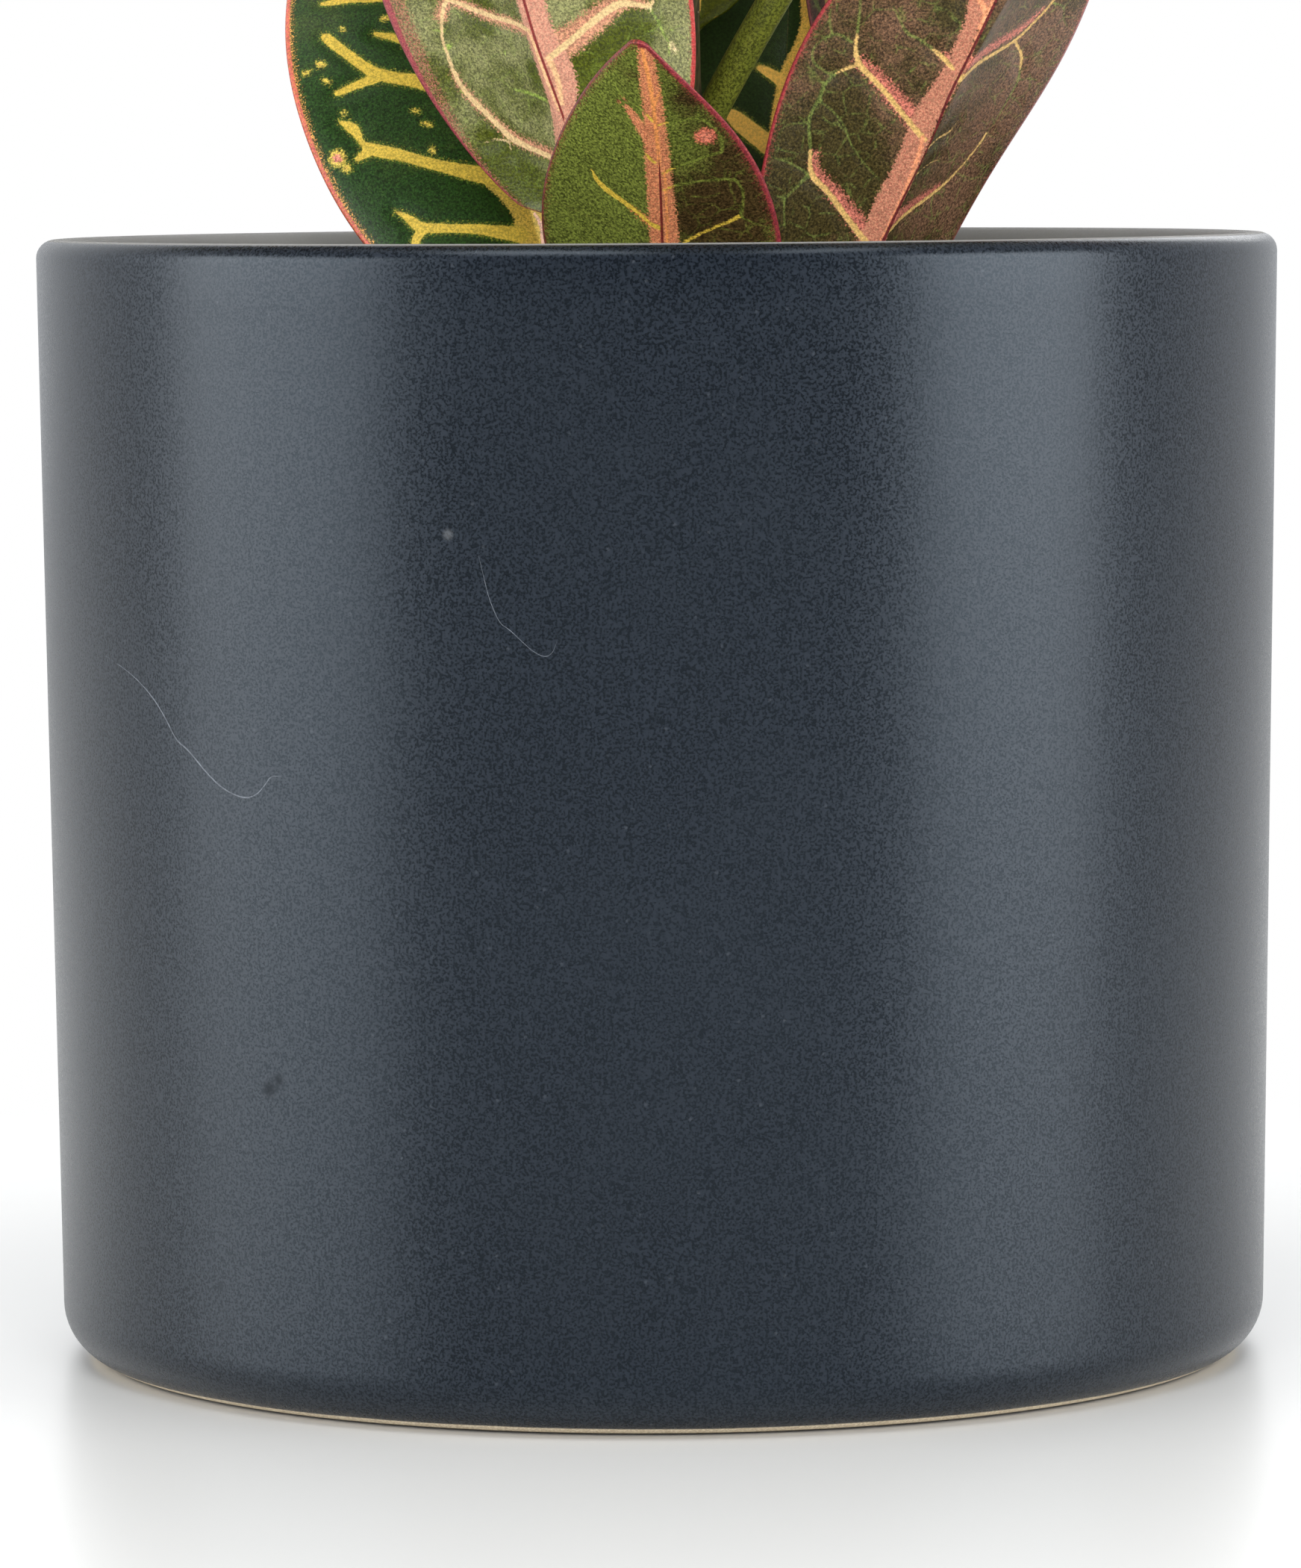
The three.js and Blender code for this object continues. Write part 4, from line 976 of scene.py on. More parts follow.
def make_leaf_markings():
    """Masks for everything that marks a blade, with edges as ragged as the real ones."""
    group, make, given, result = shared_effect(
        "Leaf markings", {"Place": None, "Ragged": 0.8, "Margin Width": 0.9},
        {label: "Float" for label in ("Band", "Line", "Bright", "Core", "Halo", "Green", "Spot", "Spot Heart",
                                      "Margin", "Fringe")})
    wander = make.less(make.noise(given["Place"], 1.5, 5.0, 0.75), 0.5)
    speckled = make.less(make.noise(given["Place"], 2.6, 1.0, 0.5), 0.5)
    tight = make.times(wander, make.times(given["Ragged"], 0.6))
    loose = make.times(make.plus(wander, make.times(speckled, 1.1)), given["Ragged"])

    def off(kind, shift):
        return make.plus(make.field(kind), shift)

    # Each mask: its distance outside the marking, and how soft its edge is, in millimetres.
    edges = {
        "Band": (off("band", loose), 0.26),
        "Bright": (off("bright", tight), 0.16),
        "Core": (off("core", tight), 0.14),
        "Halo": (off("halo", make.times(loose, 1.7)), 0.55),
        "Green": (off("green", make.times(tight, 0.3)), 0.2),
        "Spot": (off("spot", loose), 0.4),
        "Spot Heart": (make.plus(off("spot", loose), 0.62), 0.25),
        "Margin": (make.less(off("edge", tight), given["Margin Width"]), 0.16),
        "Fringe": (make.less(make.less(off("border", make.times(loose, 2.0)), given["Margin Width"]), 0.45), 0.6),
    }
    for label, (distance, softness) in edges.items():
        make.feed(result[label], make.within(distance, softness))
    # Line: the dark midrib line, painted shade in its groove
    make.feed(result["Line"], make.fade(make.math("ABSOLUTE", make.field("line")), 0.6, 1.5, 1.0, 0.0))
    return group


LEAF_TONES = ("ground", "second", "band", "band_dots", "line", "bright", "core", "halo", "green", "spot", "spot_heart",
              "margin", "other_margin", "fringe", "petiole")


def make_leaf_skin(markings):
    """The colour, gloss and relief of a blade and its petiole."""
    group, make, given, result = shared_effect(
        "Leaf skin",
        {"Place": None, "Solid Place": None, **{tone: (0.5, 0.5, 0.5, 1.0) for tone in LEAF_TONES}, "Ragged": 0.8,
         "Margin Width": 0.9, "Second Share": 0.5, "Halo Share": 1.0, "Green Share": 0.7, "Net Share": 0.3,
         "Mottle": 0.5, "Dull Beneath": 0.3},
        {"Color": "Color", "Roughness": "Float", "Height": "Float"})
    place = given["Place"]
    marks = make.node("Group", {label: given[label] for label in ("Place", "Ragged", "Margin Width")},
                      node_tree=markings).outputs
    fine = make.noise(place, 2.3, 3.0, 0.65)
    specks = make.noise(place, 3.6, 1.0, 0.5)
    grain = make.noise(given["Solid Place"], 2300.0, 2.0, 0.75)
    broad = make.noise(place, 0.09, 3.0, 0.6)
    cloud = make.noise(place, 0.45, 3.0, 0.6)

    # The ground: two colours that drift into each other, flecked with darker and lighter ones.
    drift = make.plus(make.centred(broad, 1.6), make.field("patch"))
    drift = make.plus(drift, make.centred(cloud, 0.5))
    drift = make.plus(drift, make.centred(specks, given["Mottle"]))
    tint = make.blend(make.fade(make.plus(drift, given["Second Share"]), 0.2, 0.9), given["ground"], given["second"])
    dark = make.blend(1.0, tint, (0.5, 0.5, 0.5, 1.0), "MULTIPLY")
    light = make.blend(1.0, tint, (1.52, 1.48, 1.44, 1.0), "MULTIPLY")
    skin = make.blend(make.times(make.fade(fine, 0.52, 0.36), given["Mottle"]), tint, dark)
    skin = make.blend(make.times(make.fade(fine, 0.5, 0.66), given["Mottle"]), skin, light)
    dull = make.blend(0.5, given["ground"], (0.16, 0.19, 0.11, 1.0))
    skin = make.blend(make.times(make.field("beneath"), given["Dull Beneath"]), skin, dull)

    # The finest net of veins, and then the markings, each over the ones before.
    bend = make.node("TexNoise", {"Vector": place, "Scale": 0.3}).outputs["Color"]
    bent = make.node("VectorMath", {0: place, 1: bend}, operation="ADD").outputs["Vector"]
    net = make.times(make.fade(make.cells(bent, 0.24), 0.02, 0.055, 1.0, 0.0), make.fade(cloud, 0.4, 0.62))
    dotted = make.times(make.most(marks["Band"], marks["Halo"]), make.fade(specks, 0.46, 0.62))
    layers = [
        (make.times(net, given["Net Share"]), "green"),
        (make.times(marks["Green"], given["Green Share"]), "green"),
        (make.times(marks["Fringe"], make.fade(specks, 0.4, 0.58)), "fringe"),
        (make.times(marks["Halo"], given["Halo Share"]), "halo"),
        (marks["Band"], "band"),
        (make.times(dotted, 0.7), "band_dots"),
        (marks["Spot"], "spot"),
        (marks["Spot Heart"], "spot_heart"),
        (marks["Core"], "core"),
        (marks["Bright"], "bright"),
        # painted shade: the dark line down the midrib's groove
        (marks["Line"], "line"),
    ]
    for share, tone in layers:
        skin = make.blend(share, skin, given[tone])
    rim = make.blend(make.fade(make.field("across"), -0.1, 0.1), given["other_margin"], given["margin"])
    rim = make.blend(make.times(make.fade(specks, 0.45, 0.62), 0.45), rim, given["band_dots"])
    skin = make.blend(marks["Margin"], skin, rim)

    # The petiole, whose far side is the colour of the blade.
    streaks = make.noise(make.scaled(place, (1.0, 0.12, 1.0)), 2.4, 3.0, 0.6)
    stalk = make.blend(make.fade(streaks, 0.35, 0.65, 0.0, 0.25), given["petiole"], given["ground"])
    stalk = make.blend(make.fade(make.field("across"), 0.1, 0.45, 0.0, 0.6), stalk, given["ground"])
    skin = make.blend(make.fade(make.field("along"), -0.06, 0.02, 1.0, 0.0), skin, stalk)

    # A grain over everything, fainter on the markings.
    marked = make.most(make.most(marks["Band"], marks["Core"]), marks["Margin"])
    depth = make.times(make.fade(marked, 0.0, 1.0, 0.8, 0.42), given["Mottle"])
    shade = make.plus(make.times(make.centred(make.fade(grain, 0.34, 0.66), depth), 2.0), 1.0)
    make.feed(result["Color"], make.node("VectorMath", {0: skin, "Scale": shade}, operation="SCALE").outputs["Vector"])
    gloss = make.plus(make.times(fine, 0.22), 0.27)
    make.feed(result["Roughness"], make.plus(gloss, make.times(marks["Band"], 0.08)))
    raised = make.less(fine, make.times(marks["Core"], 0.5))
    make.feed(result["Height"], make.less(raised, make.times(marks["Line"], 0.8)))
    return group


# The colours of each kind of leaf, in sRGB.
GREEN_YELLOW = dict(
    ground=(32, 61, 18), second=(60, 76, 28), band=(220, 186, 84), band_dots=(186, 158, 54), line=(150, 110, 50),
    bright=(236, 188, 165), core=(214, 184, 72), halo=(82, 112, 32), green=(95, 130, 50), spot=(214, 186, 80),
    spot_heart=(215, 130, 110), margin=(200, 88, 84), fringe=(220, 158, 80), petiole=(150, 150, 70))
# painted sheen: the grey-green second colour stands in for reflected sky
OLIVE_SALMON = dict(
    ground=(72, 80, 13), second=(134, 134, 88), band=(206, 152, 126), band_dots=(184, 112, 96), line=(128, 48, 46),
    bright=(232, 184, 136), core=(220, 188, 136), halo=(198, 146, 112), green=(146, 172, 72), spot=(220, 200, 150),
    spot_heart=(215, 130, 110), margin=(184, 56, 58), other_margin=(146, 60, 70), fringe=(158, 98, 80),
    petiole=(140, 120, 70))
BRONZE_ORANGE = dict(
    ground=(104, 114, 48), second=(66, 52, 28), band=(222, 148, 102), band_dots=(172, 76, 60), line=(118, 46, 40),
    bright=(238, 156, 88), core=(216, 184, 70), halo=(206, 130, 76), green=(124, 138, 56), spot=(214, 116, 92),
    spot_heart=(218, 130, 104), margin=(122, 42, 52), other_margin=(92, 42, 38), fringe=(110, 50, 42),
    petiole=(170, 100, 80))
MAROON_PINK = dict(
    ground=(108, 80, 60), second=(62, 54, 26), band=(188, 130, 102), band_dots=(164, 86, 72), line=(96, 34, 34),
    bright=(230, 150, 108), core=(210, 172, 104), halo=(196, 118, 100), green=(112, 128, 62), spot=(200, 150, 90),
    spot_heart=(215, 130, 110), margin=(158, 96, 98), other_margin=(156, 50, 58), fringe=(120, 60, 50),
    petiole=(180, 110, 90))
DEEP_GREEN = dict(
    GREEN_YELLOW, ground=(34, 52, 16), second=(50, 62, 20), band=(240, 190, 84), margin=(60, 82, 30),
    core=(240, 190, 86), fringe=(120, 130, 50), halo=(98, 120, 34))
DEEP_OLIVE = dict(
    DEEP_GREEN, ground=(70, 76, 6), second=(58, 70, 8), margin=(62, 72, 8), fringe=(66, 76, 8),
    band_dots=(96, 104, 20))
OLIVE_GREEN = dict(OLIVE_SALMON, petiole=(86, 90, 29), ground=(56, 66, 20))
OLD_MAROON = dict(MAROON_PINK, ground=(78, 52, 44))
OLD_OLIVE = dict(OLIVE_SALMON, ground=(84, 98, 52), second=(96, 80, 50))
MID_GREEN = dict(
    GREEN_YELLOW, ground=(44, 88, 40), second=(66, 96, 40), margin=(206, 130, 78), core=(226, 200, 80),
    band=(222, 180, 74))
YOUNG_BRIGHT = dict(
    GREEN_YELLOW, ground=(74, 122, 44), second=(110, 142, 52), band=(232, 214, 96), band_dots=(214, 196, 84),
    core=(236, 220, 104), halo=(170, 184, 74), green=(168, 186, 76), margin=(196, 186, 84), fringe=(190, 190, 84),
    line=(190, 170, 70), petiole=(158, 176, 84))
YOUNG_GREEN = dict(MID_GREEN, ground=(58, 108, 42), second=(92, 128, 46))
STILL = dict(second_share=0.12, dull_beneath=0.0)

# How each leaf in the photograph is made: its finish, the record's slot, how fine its mesh is in millimetres, which of
# its faces the photograph shows, how high its keel is, and, on one side of it, how much wider than on the rest of the
# leaf its margin and the margin's fringe grow, as (millimetres, from, over) in shares of the blade.
SHOWN = {
    "leaf_left_back": dict(
        slot="leaf_dark", cell=0.4,
        finish=("leaf_green_yellow", GREEN_YELLOW, dict(
            STILL, ragged=1.2, margin_width=0.85, halo_share=0.8, green_share=0.0, net_share=0.0, mottle=0.7))),
    "leaf_left_front": dict(
        slot="leaf_olive", cell=0.4, face=-1, keel=0.4,
        wider=dict(side=-1, margin=(0.9, 0.1, 0.3), fringe=(2.2, 0.04, 0.3), elsewhere=(0.15, -0.5)),
        finish=("leaf_olive_salmon", OLIVE_SALMON, dict(
            STILL, ragged=1.6, margin_width=0.6, net_share=0.16, mottle=0.58, second_share=0.52))),
    "leaf_centre_front": dict(
        slot="leaf_olive", cell=0.4, face=-1, keel=0.3,
        wider=dict(side=1, margin=(0.35, 0, 0.5), fringe=(0, 0, 1), elsewhere=(0, 0)),
        finish=("leaf_bronze_orange", BRONZE_ORANGE, dict(
            STILL, ragged=1.6, margin_width=0.35, net_share=0.25, mottle=0.75))),
    "leaf_right_front": dict(
        slot="leaf_maroon", cell=0.4, face=-1, keel=0.4,
        finish=("leaf_maroon_pink", MAROON_PINK, dict(
            STILL, ragged=1.6, margin_width=0.5, net_share=0.36, mottle=0.75, second_share=0.55))),
    "leaf_right_back": dict(
        slot="leaf_dark", cell=0.7,
        finish=("leaf_deep_green", DEEP_GREEN, dict(
            STILL, ragged=0.8, margin_width=0.3, halo_share=0.75, green_share=0.2, net_share=0.0, mottle=0.4))),
    "leaf_middle_back": dict(
        slot="leaf_dark", cell=0.7,
        finish=("leaf_deep_olive", DEEP_OLIVE, dict(
            STILL, ragged=0.8, margin_width=0.3, halo_share=0.5, green_share=0.2, net_share=0.0, mottle=0.4))),
    "leaf_right_high": dict(
        slot="leaf_olive", cell=0.7, face=-1,
        finish=("leaf_olive_green", OLIVE_GREEN, dict(net_share=0.1, mottle=0.75, dull_beneath=0.1))),
}
CROWN_CELL, YOUNG_CELL = 1.25, 1.0  # how fine the mesh of the other leaves and of the unopened ones is
YOUNG_VEINS = dict(apart=6, bold=0.7)
# The other leaves are made by their age, from 0 to 1: each kind goes up to an age and takes its finishes in turn.
AGES = {
    "old": dict(up_to=0.34, slot="leaf_maroon", finishes=[
        ("old_leaf_maroon", OLD_MAROON, dict(net_share=0.3)),
        ("old_leaf_bronze", BRONZE_ORANGE, dict(net_share=0.2)),
        ("old_leaf_olive", OLD_OLIVE, dict(net_share=0.15))]),
    "grown": dict(up_to=0.67, slot="leaf_dark", finishes=[
        ("grown_leaf_yellow", GREEN_YELLOW, dict(halo_share=0.25, green_share=0.5, margin_width=0.7, net_share=0.05)),
        ("grown_leaf_green", MID_GREEN, dict(halo_share=0.3, green_share=0.6, margin_width=0.6, net_share=0.1))]),
    "young": dict(up_to=1.0, slot="leaf_olive", finishes=[
        ("young_leaf_bright", YOUNG_BRIGHT, dict(
            halo_share=0.5, green_share=0.6, margin_width=0.4, net_share=0.1, mottle=0.35)),
        ("young_leaf_green", YOUNG_GREEN, dict(
            halo_share=0.5, green_share=0.6, margin_width=0.45, net_share=0.1, mottle=0.35))]),
}


def leaf_finish(skin_group, name, tones, amounts):
    """One kind of leaf: the shared leaf skin with that kind's colours, which are written in sRGB."""
    make = Finish(name)
    group = make.node("Group", node_tree=skin_group)
    make.feed(group.inputs["Place"], make.node("UVMap", uv_map="flat").outputs["UV"])
    make.feed(group.inputs["Solid Place"], make.object_place())
    for label, tone in {"other_margin": tones["margin"], **tones}.items():
        group.inputs[label].default_value = colour(*tone)
    for label, amount in amounts.items():
        group.inputs[label.replace("_", " ").title()].default_value = amount
    make.set(Base_Color=group.outputs["Color"], Roughness=group.outputs["Roughness"], Specular_IOR_Level=0.36)
    make.bump(0.35, 0.0003, group.outputs["Height"])
    return make.material


# ---------------------------------------------------------------- finishes: pot, bark and potting mix

# Where the glaze changes, in metres: it is pale on the lip, partly where the glaze breaks thin and partly a painted
# highlight of the lit lip, and the clay is bare under the foot, with painted contact shadow along its lowest edge.
INSIDE_WALL, INNER_LIP, LIP_CREST = (0.0993, 0.0999), (0.1795, 0.1812), (0.18325, 0.18348)
BARE_CLAY, FOOT_CONTACT_SHADOW = (0.0012, 0.0015), (0.0002, 0.0005)


def make_glaze():
    """Satin charcoal glaze with a fine grain, thin and pale on the lip's edge with a painted highlight there, and bare
    clay under the foot with painted contact shadow at its lowest edge.
    """
    make = Finish("satin_charcoal_glaze")
    place = make.object_place()
    grain = make.noise(place, 2500.0, 1.0, 0.5)
    cloud = make.noise(place, 22.0, 4.0, 0.6)
    body = make.two_tones(make.fade(grain, 0.36, 0.64), (4, 7, 12), (17, 23, 32))
    body = make.laid_on(body, make.times(make.fade(cloud, 0.35, 0.7), 0.3), (22, 27, 33))
    body = make.laid_on(body, make.fade(make.cells(place, 260.0, "F1"), 0.03, 0.10, 0.3, 0.0), (70, 74, 80))
    level = make.plus(make.level(place), make.centred(cloud, 0.0005))
    inside = make.fade(make.length(make.scaled(place, (1.0, 1.0, 0.0))), *INSIDE_WALL, 1.0, 0.0)
    # pale lip: partly the glaze breaking thin, partly a painted highlight where the lip's top and inner edge catch the
    # light
    lip = make.most(make.times(make.fade(level, *INNER_LIP), inside), make.times(make.fade(level, *LIP_CREST), 0.6))
    body = make.laid_on(body, lip, (132, 131, 129))
    body = make.laid_on(body, make.fade(make.distance(place, "knot"), 0.0002, 0.0012, 0.3, 0.0), (110, 112, 114))
    start, end = make.distance(place, "smudge"), make.plus(make.distance(place, "smudge_end"), 0.0003)
    smudge = make.plus(make.math("MINIMUM", start, end), make.times(grain, 0.0014))
    smudged = make.fade(smudge, 0.0009, 0.0029, 0.65, 0.0)
    body = make.laid_on(body, smudged, (4, 5, 7))
    clay = make.two_tones(make.fade(grain, 0.35, 0.65), (206, 188, 160), (236, 222, 196))
    # painted contact shadow: the lowest edge of the bare foot is darkened where it sits on the table
    clay = make.laid_on(clay, make.fade(level, *FOOT_CONTACT_SHADOW, 0.8, 0.0), (74, 62, 52))
    foot = make.fade(level, *BARE_CLAY, 1.0, 0.0)
    bare = make.most(make.most(foot, lip), smudged)
    rough = make.plus(make.times(make.fade(grain, 0.34, 0.66), 0.16), make.times(cloud, 0.08))
    glints = make.times(make.fade(grain, 0.38, 0.62, 0.0, 0.3), make.less(1.0, bare))
    make.set(Base_Color=make.blend(foot, body, clay), Specular_IOR_Level=0.345, Specular_Tint=(0.7, 0.85, 1.0, 1.0),
             Coat_Weight=glints, Coat_Roughness=0.3,
             Roughness=make.plus(make.plus(rough, 0.2), make.times(bare, 0.45)))
    make.bump(0.3, 0.00012, make.plus(make.times(grain, 0.6), make.noise(place, 120.0, 2.0)))
    return make.material


def make_plain_grit(name, dark, light, roughness):
    """The finish of the bits in the mix and of the scratches: one material in two shades."""
    make = Finish(name)
    grain = make.noise(make.object_place(), 700.0, 4.0, 0.65)
    make.set(Base_Color=make.two_tones(make.fade(grain, 0.35, 0.65), dark, light), Roughness=roughness)
    make.bump(0.5, 0.0003, grain)
    return make.material


def make_bark():
    """Grey-brown bark, greener towards the tips, with pale lenticels and dark scars."""
    make = Finish("croton_bark")
    place = make.object_place()
    streaks = make.noise(make.scaled(place, (1.0, 1.0, 0.25)), 900.0, 4.0, 0.65)
    streaked = make.fade(streaks, 0.35, 0.65)
    green_from = make.plus(make.level(place), make.centred(make.noise(place, 60.0, 3.0), 0.12))
    body = make.blend(make.fade(green_from, 0.24, 0.36), make.two_tones(streaked, (56, 50, 25), (104, 94, 56)),
                      make.two_tones(streaked, (70, 88, 40), (112, 128, 62)))
    lenticels = make.cells(make.scaled(place, (1.0, 1.0, 2.2)), 420.0, "F1")
    body = make.laid_on(body, make.fade(lenticels, 0.12, 0.24, 0.7, 0.0), (170, 156, 124))
    body = make.laid_on(body, make.fade(make.field("scar"), 0.12, 0.35, 0.75, 0.0), (52, 42, 30))
    make.set(Base_Color=body, Roughness=make.fade(streaks, 0.2, 0.8, 0.62, 0.82))
    make.bump(0.6, 0.0004, make.plus(streaks, make.fade(lenticels, 0.1, 0.25, 0.6, 0.0)))
    return make.material


def make_mix_finish():
    """Dark peaty potting mix, dry and pale on its crumbs."""
    make = Finish("peaty_mix")
    place = make.object_place()
    crumbs = make.noise(place, 420.0, 6.0, 0.7)
    fibres = make.noise(make.scaled(place, (1.0, 0.3, 1.0)), 1300.0, 3.0, 0.6)
    body = make.two_tones(make.fade(crumbs, 0.35, 0.7), (26, 18, 13), (88, 66, 48))
    body = make.laid_on(body, make.fade(fibres, 0.6, 0.75, 0.0, 0.6), (128, 98, 68))
    body = make.laid_on(body, make.fade(make.noise(place, 45.0, 3.0), 0.45, 0.7, 0.0, 0.5), (38, 28, 20))
    make.set(Base_Color=body, Roughness=make.fade(crumbs, 0.3, 0.7, 0.98, 0.85))
    make.bump(0.9, 0.0012, crumbs)
    return make.material


# ---------------------------------------------------------------- pot

def arc(centre_x, centre_z, radius, start, end, steps):
    angles = [math.radians(start + (end - start) * k / steps) for k in range(steps + 1)]
    return [(centre_x + radius * math.cos(a), centre_z + radius * math.sin(a)) for a in angles]


def pot_profile():
    height, lip, foot, inner = POT["height"], POT["lip_round"], POT["foot_round"], POT["inner_round"]
    ring_outside = wall_radius(foot) - foot
    ring_inside = ring_outside - POT["ring"]
    chamfer_in, chamfer_up = POT["ring_chamfer"]
    top, bottom = height - lip, POT["floor"] + inner
    rows = 24
    levels = [foot + (top - foot) * k / rows for k in range(1, rows)]
    return [
        (0, POT["recess"]), (ring_inside - POT["recess"], POT["recess"]), (ring_inside - chamfer_in, chamfer_up),
        (ring_inside, 0), *arc(ring_outside, foot, foot, -90, 0, 14), *((wall_radius(z), z) for z in levels),
        *arc(wall_radius(top) - lip, top, lip, 0, 90, 8),
        *arc(wall_radius(top) - POT["wall"] + lip, top, lip, 90, 180, 8),
        *arc(wall_radius(bottom) - POT["wall"] - inner, bottom, inner, 0, -90, 8), (0, POT["floor"]),
    ]


def make_pot(finish):
    bm = turned(pot_profile(), steps=240)
    bmesh.ops.recalc_face_normals(bm, faces=bm.faces)
    return finish_piece(bm, "glazed_pot", finish, "glaze", ["pot"])


HAIRLINE = dict(proud=(-0.03, 0.035, -0.03, -0.08), ends=0.25)  # round its four sides; how wide it starts


def make_hairline(name, seen_at, half_width, finish):
    """A fine pale scratch raised a hair's breadth on the glaze, along pixels of the photograph."""
    path = rounded([(*pixel, 0) for pixel in seen_at])[:, :2]
    bm, columns, rows = sleeve(4, len(path) - 1)
    middle = np.array([on_pot_wall(*pixel) for pixel in path])
    run = np.gradient(middle, axis=0)
    out = middle * (1, 1, 0)
    out /= np.linalg.norm(out, axis=1)[:, None]
    aside = np.cross(run, out)
    aside /= np.linalg.norm(aside, axis=1)[:, None]
    swelling = np.sin(np.pi * np.linspace(0, 1, len(path))) ** 0.5
    taper = half_width * (HAIRLINE["ends"] + (1 - HAIRLINE["ends"]) * swelling)
    off = np.array([1, 0, -1, 0])[columns] * taper[rows]
    proud = np.array(HAIRLINE["proud"])[columns]
    place_vertices(bm, middle[rows] + aside[rows] * off[:, None] + out[rows] * proud[:, None])
    close_ends(bm)
    return finish_piece(bm, name, finish, "glaze", ["pot"])


# ---------------------------------------------------------------- soil

def make_soil(finish):
    rings = 64
    top = [(SOIL_RADIUS * k / rings, 0) for k in range(rings + 1)]
    bm = turned([*top, (SOIL_RADIUS, -(SOIL["edge"] - SOIL["underside"]))], steps=180)
    for vert in bm.verts:
        if vert.co.z < -0.01:
            vert.co.z = SOIL["underside"] * MM
            continue
        radius = math.hypot(vert.co.x, vert.co.y) / MM
        place = Vector((vert.co.x, vert.co.y, 0)) / MM
        lumps = (noise.fractal(place * SOIL["lump_pitch"], 1, 2, 4) * SOIL["lumps"]
                 + noise.noise(place * SOIL["swell_pitch"]) * SOIL["swell"])
        near_edge = min(1, (SOIL_RADIUS - radius) / SOIL["flat_edge"])
        vert.co.z = (soil_height(radius) + lumps * near_edge - SOIL["lowered"]) * MM
    close_ends(bm)
    return finish_piece(bm, "potting_mix", finish, "soil", ["soil"])


# What lies on the mix: how many bits, how wide they are, how flat, and their two shades.
BITS = {
    "bark_chips": dict(count=420, size=(2.0, 6.5), flatness=0.4, seed=31,
                       finish=("bark_chip", (52, 34, 22), (112, 80, 54), 0.85)),
    "perlite": dict(count=90, size=(1.2, 3.2), flatness=0.8, seed=57,
                    finish=("perlite", (186, 180, 168), (226, 222, 214), 0.9)),
    "peat_crumbs": dict(count=520, size=(1.2, 3.6), flatness=0.75, seed=73,
                        finish=("peat_crumb", (24, 16, 11), (66, 46, 32), 0.95)),
}
BIT = dict(from_wall=4, from_stem=5, longer=(1.4, 0.7), tilt=0.4, sunk=0.1, raised=0.25, rough=0.09)


def make_bits(name, count, size, flatness, seed, finish):
    """Bits lying on the mix: each a small rough lump of a few faces, half sunk."""
    draw = Draws(seed)
    bm = bmesh.new()
    for _ in range(count):
        turn, off = math.pi * draw(), math.sqrt(0.5 + 0.5 * draw()) * (SOIL_RADIUS - BIT["from_wall"])
        wide, longer = mix(size, 0.5 + 0.5 * draw()), BIT["longer"][0] + BIT["longer"][1] * draw()
        tilt = BIT["tilt"] * draw()
        height = soil_height(off) - BIT["sunk"] + BIT["raised"] * wide * flatness
        place = Vector((off * math.cos(turn), off * math.sin(turn), height))
        if any(math.dist(place[:2], stem["foot"]) < stem["radius"] + BIT["from_stem"] for stem in STEMS.values()):
            continue
        shape = (Matrix.Translation(place * MM) @ Matrix.Rotation(math.pi * draw(), 4, "Z")
                 @ Matrix.Rotation(tilt, 4, "X")
                 @ Matrix.Diagonal((wide * longer * MM, wide * MM, wide * flatness * MM, 1)))
        lump = bmesh.ops.create_icosphere(bm, subdivisions=1, radius=0.5, matrix=shape)
        for vert in lump["verts"]:
            vert.co += Vector((draw(), draw(), draw() * flatness)) * BIT["rough"] * wide * MM
    return finish_piece(bm, name, make_plain_grit(*finish), "soil", ["soil"], smooth_faces=False)


# ---------------------------------------------------------------- stems

def scars_on(stem, leaves):
    """Each cushion and scar on a stem as (azimuth, height, how proud, how tall)."""
    for leaf in leaves:
        yield leaf["azimuth"], leaf["height"] - CUSHION["below"], CUSHION["proud"], CUSHION["tall"]
    level, azimuth = soil_height(0) + SCAR["first"], stem["first"]
    while level < min([leaf["height"] for leaf in leaves], default=stem["top"]) + SCAR["above_lowest"]:
        yield azimuth + SCAR["turned"], level, SCAR["proud"], SCAR["tall"]
        level += SCAR["apart"]
        azimuth += UPPER["divergence"]


def make_stem(name, leaves, finish):
    """A woody stem with a cushion under each petiole and the crescent scars of fallen leaves."""
    stem = STEMS[name]
    around, bottom, top = 40, soil_height(0) - STEM["buried"], stem["top"]
    along = int((top - bottom) / STEM["cell"])
    bm, columns, rows = sleeve(around, along)
    turn = columns * 2 * np.pi / around
    z = bottom + (top - bottom) * rows / along
    radius = stem_radius(stem, z)
    growth, scar = np.zeros(len(z)), np.full(len(z), FAR)
    for azimuth, height, proud, tall in scars_on(stem, leaves):
        apart = (turn - math.radians(azimuth) + np.pi) % (2 * np.pi) - np.pi
        across, up = apart * radius, z - height
        growth = np.maximum(growth, proud * np.exp(-(across / CUSHION["wide"]) ** 2 - (up / tall) ** 2))
        crescent = up + SCAR["bend"] * across ** 2 / 3 - 1
        rim = np.hypot(across / SCAR["half_width"], crescent / SCAR["half_height"])
        scar = np.minimum(scar, np.abs(rim - 1))
    ribs = sum(high * np.sin(turn * count + z * twist) for high, count, twist in RIBS)
    full = np.minimum(radius + growth + ribs, radius + STEM["most_growth"])
    middle = stem_axis(stem, z).T
    place_vertices(bm, middle + np.stack([full * np.cos(turn), full * np.sin(turn), np.zeros(len(z))], -1))
    close_ends(bm)
    piece = finish_piece(bm, f"woody_stem_{name}", finish, "stem", [f"stem_{name}"])
    set_attributes(piece, {"scar": scar})
    return piece


# ---------------------------------------------------------------- leaves

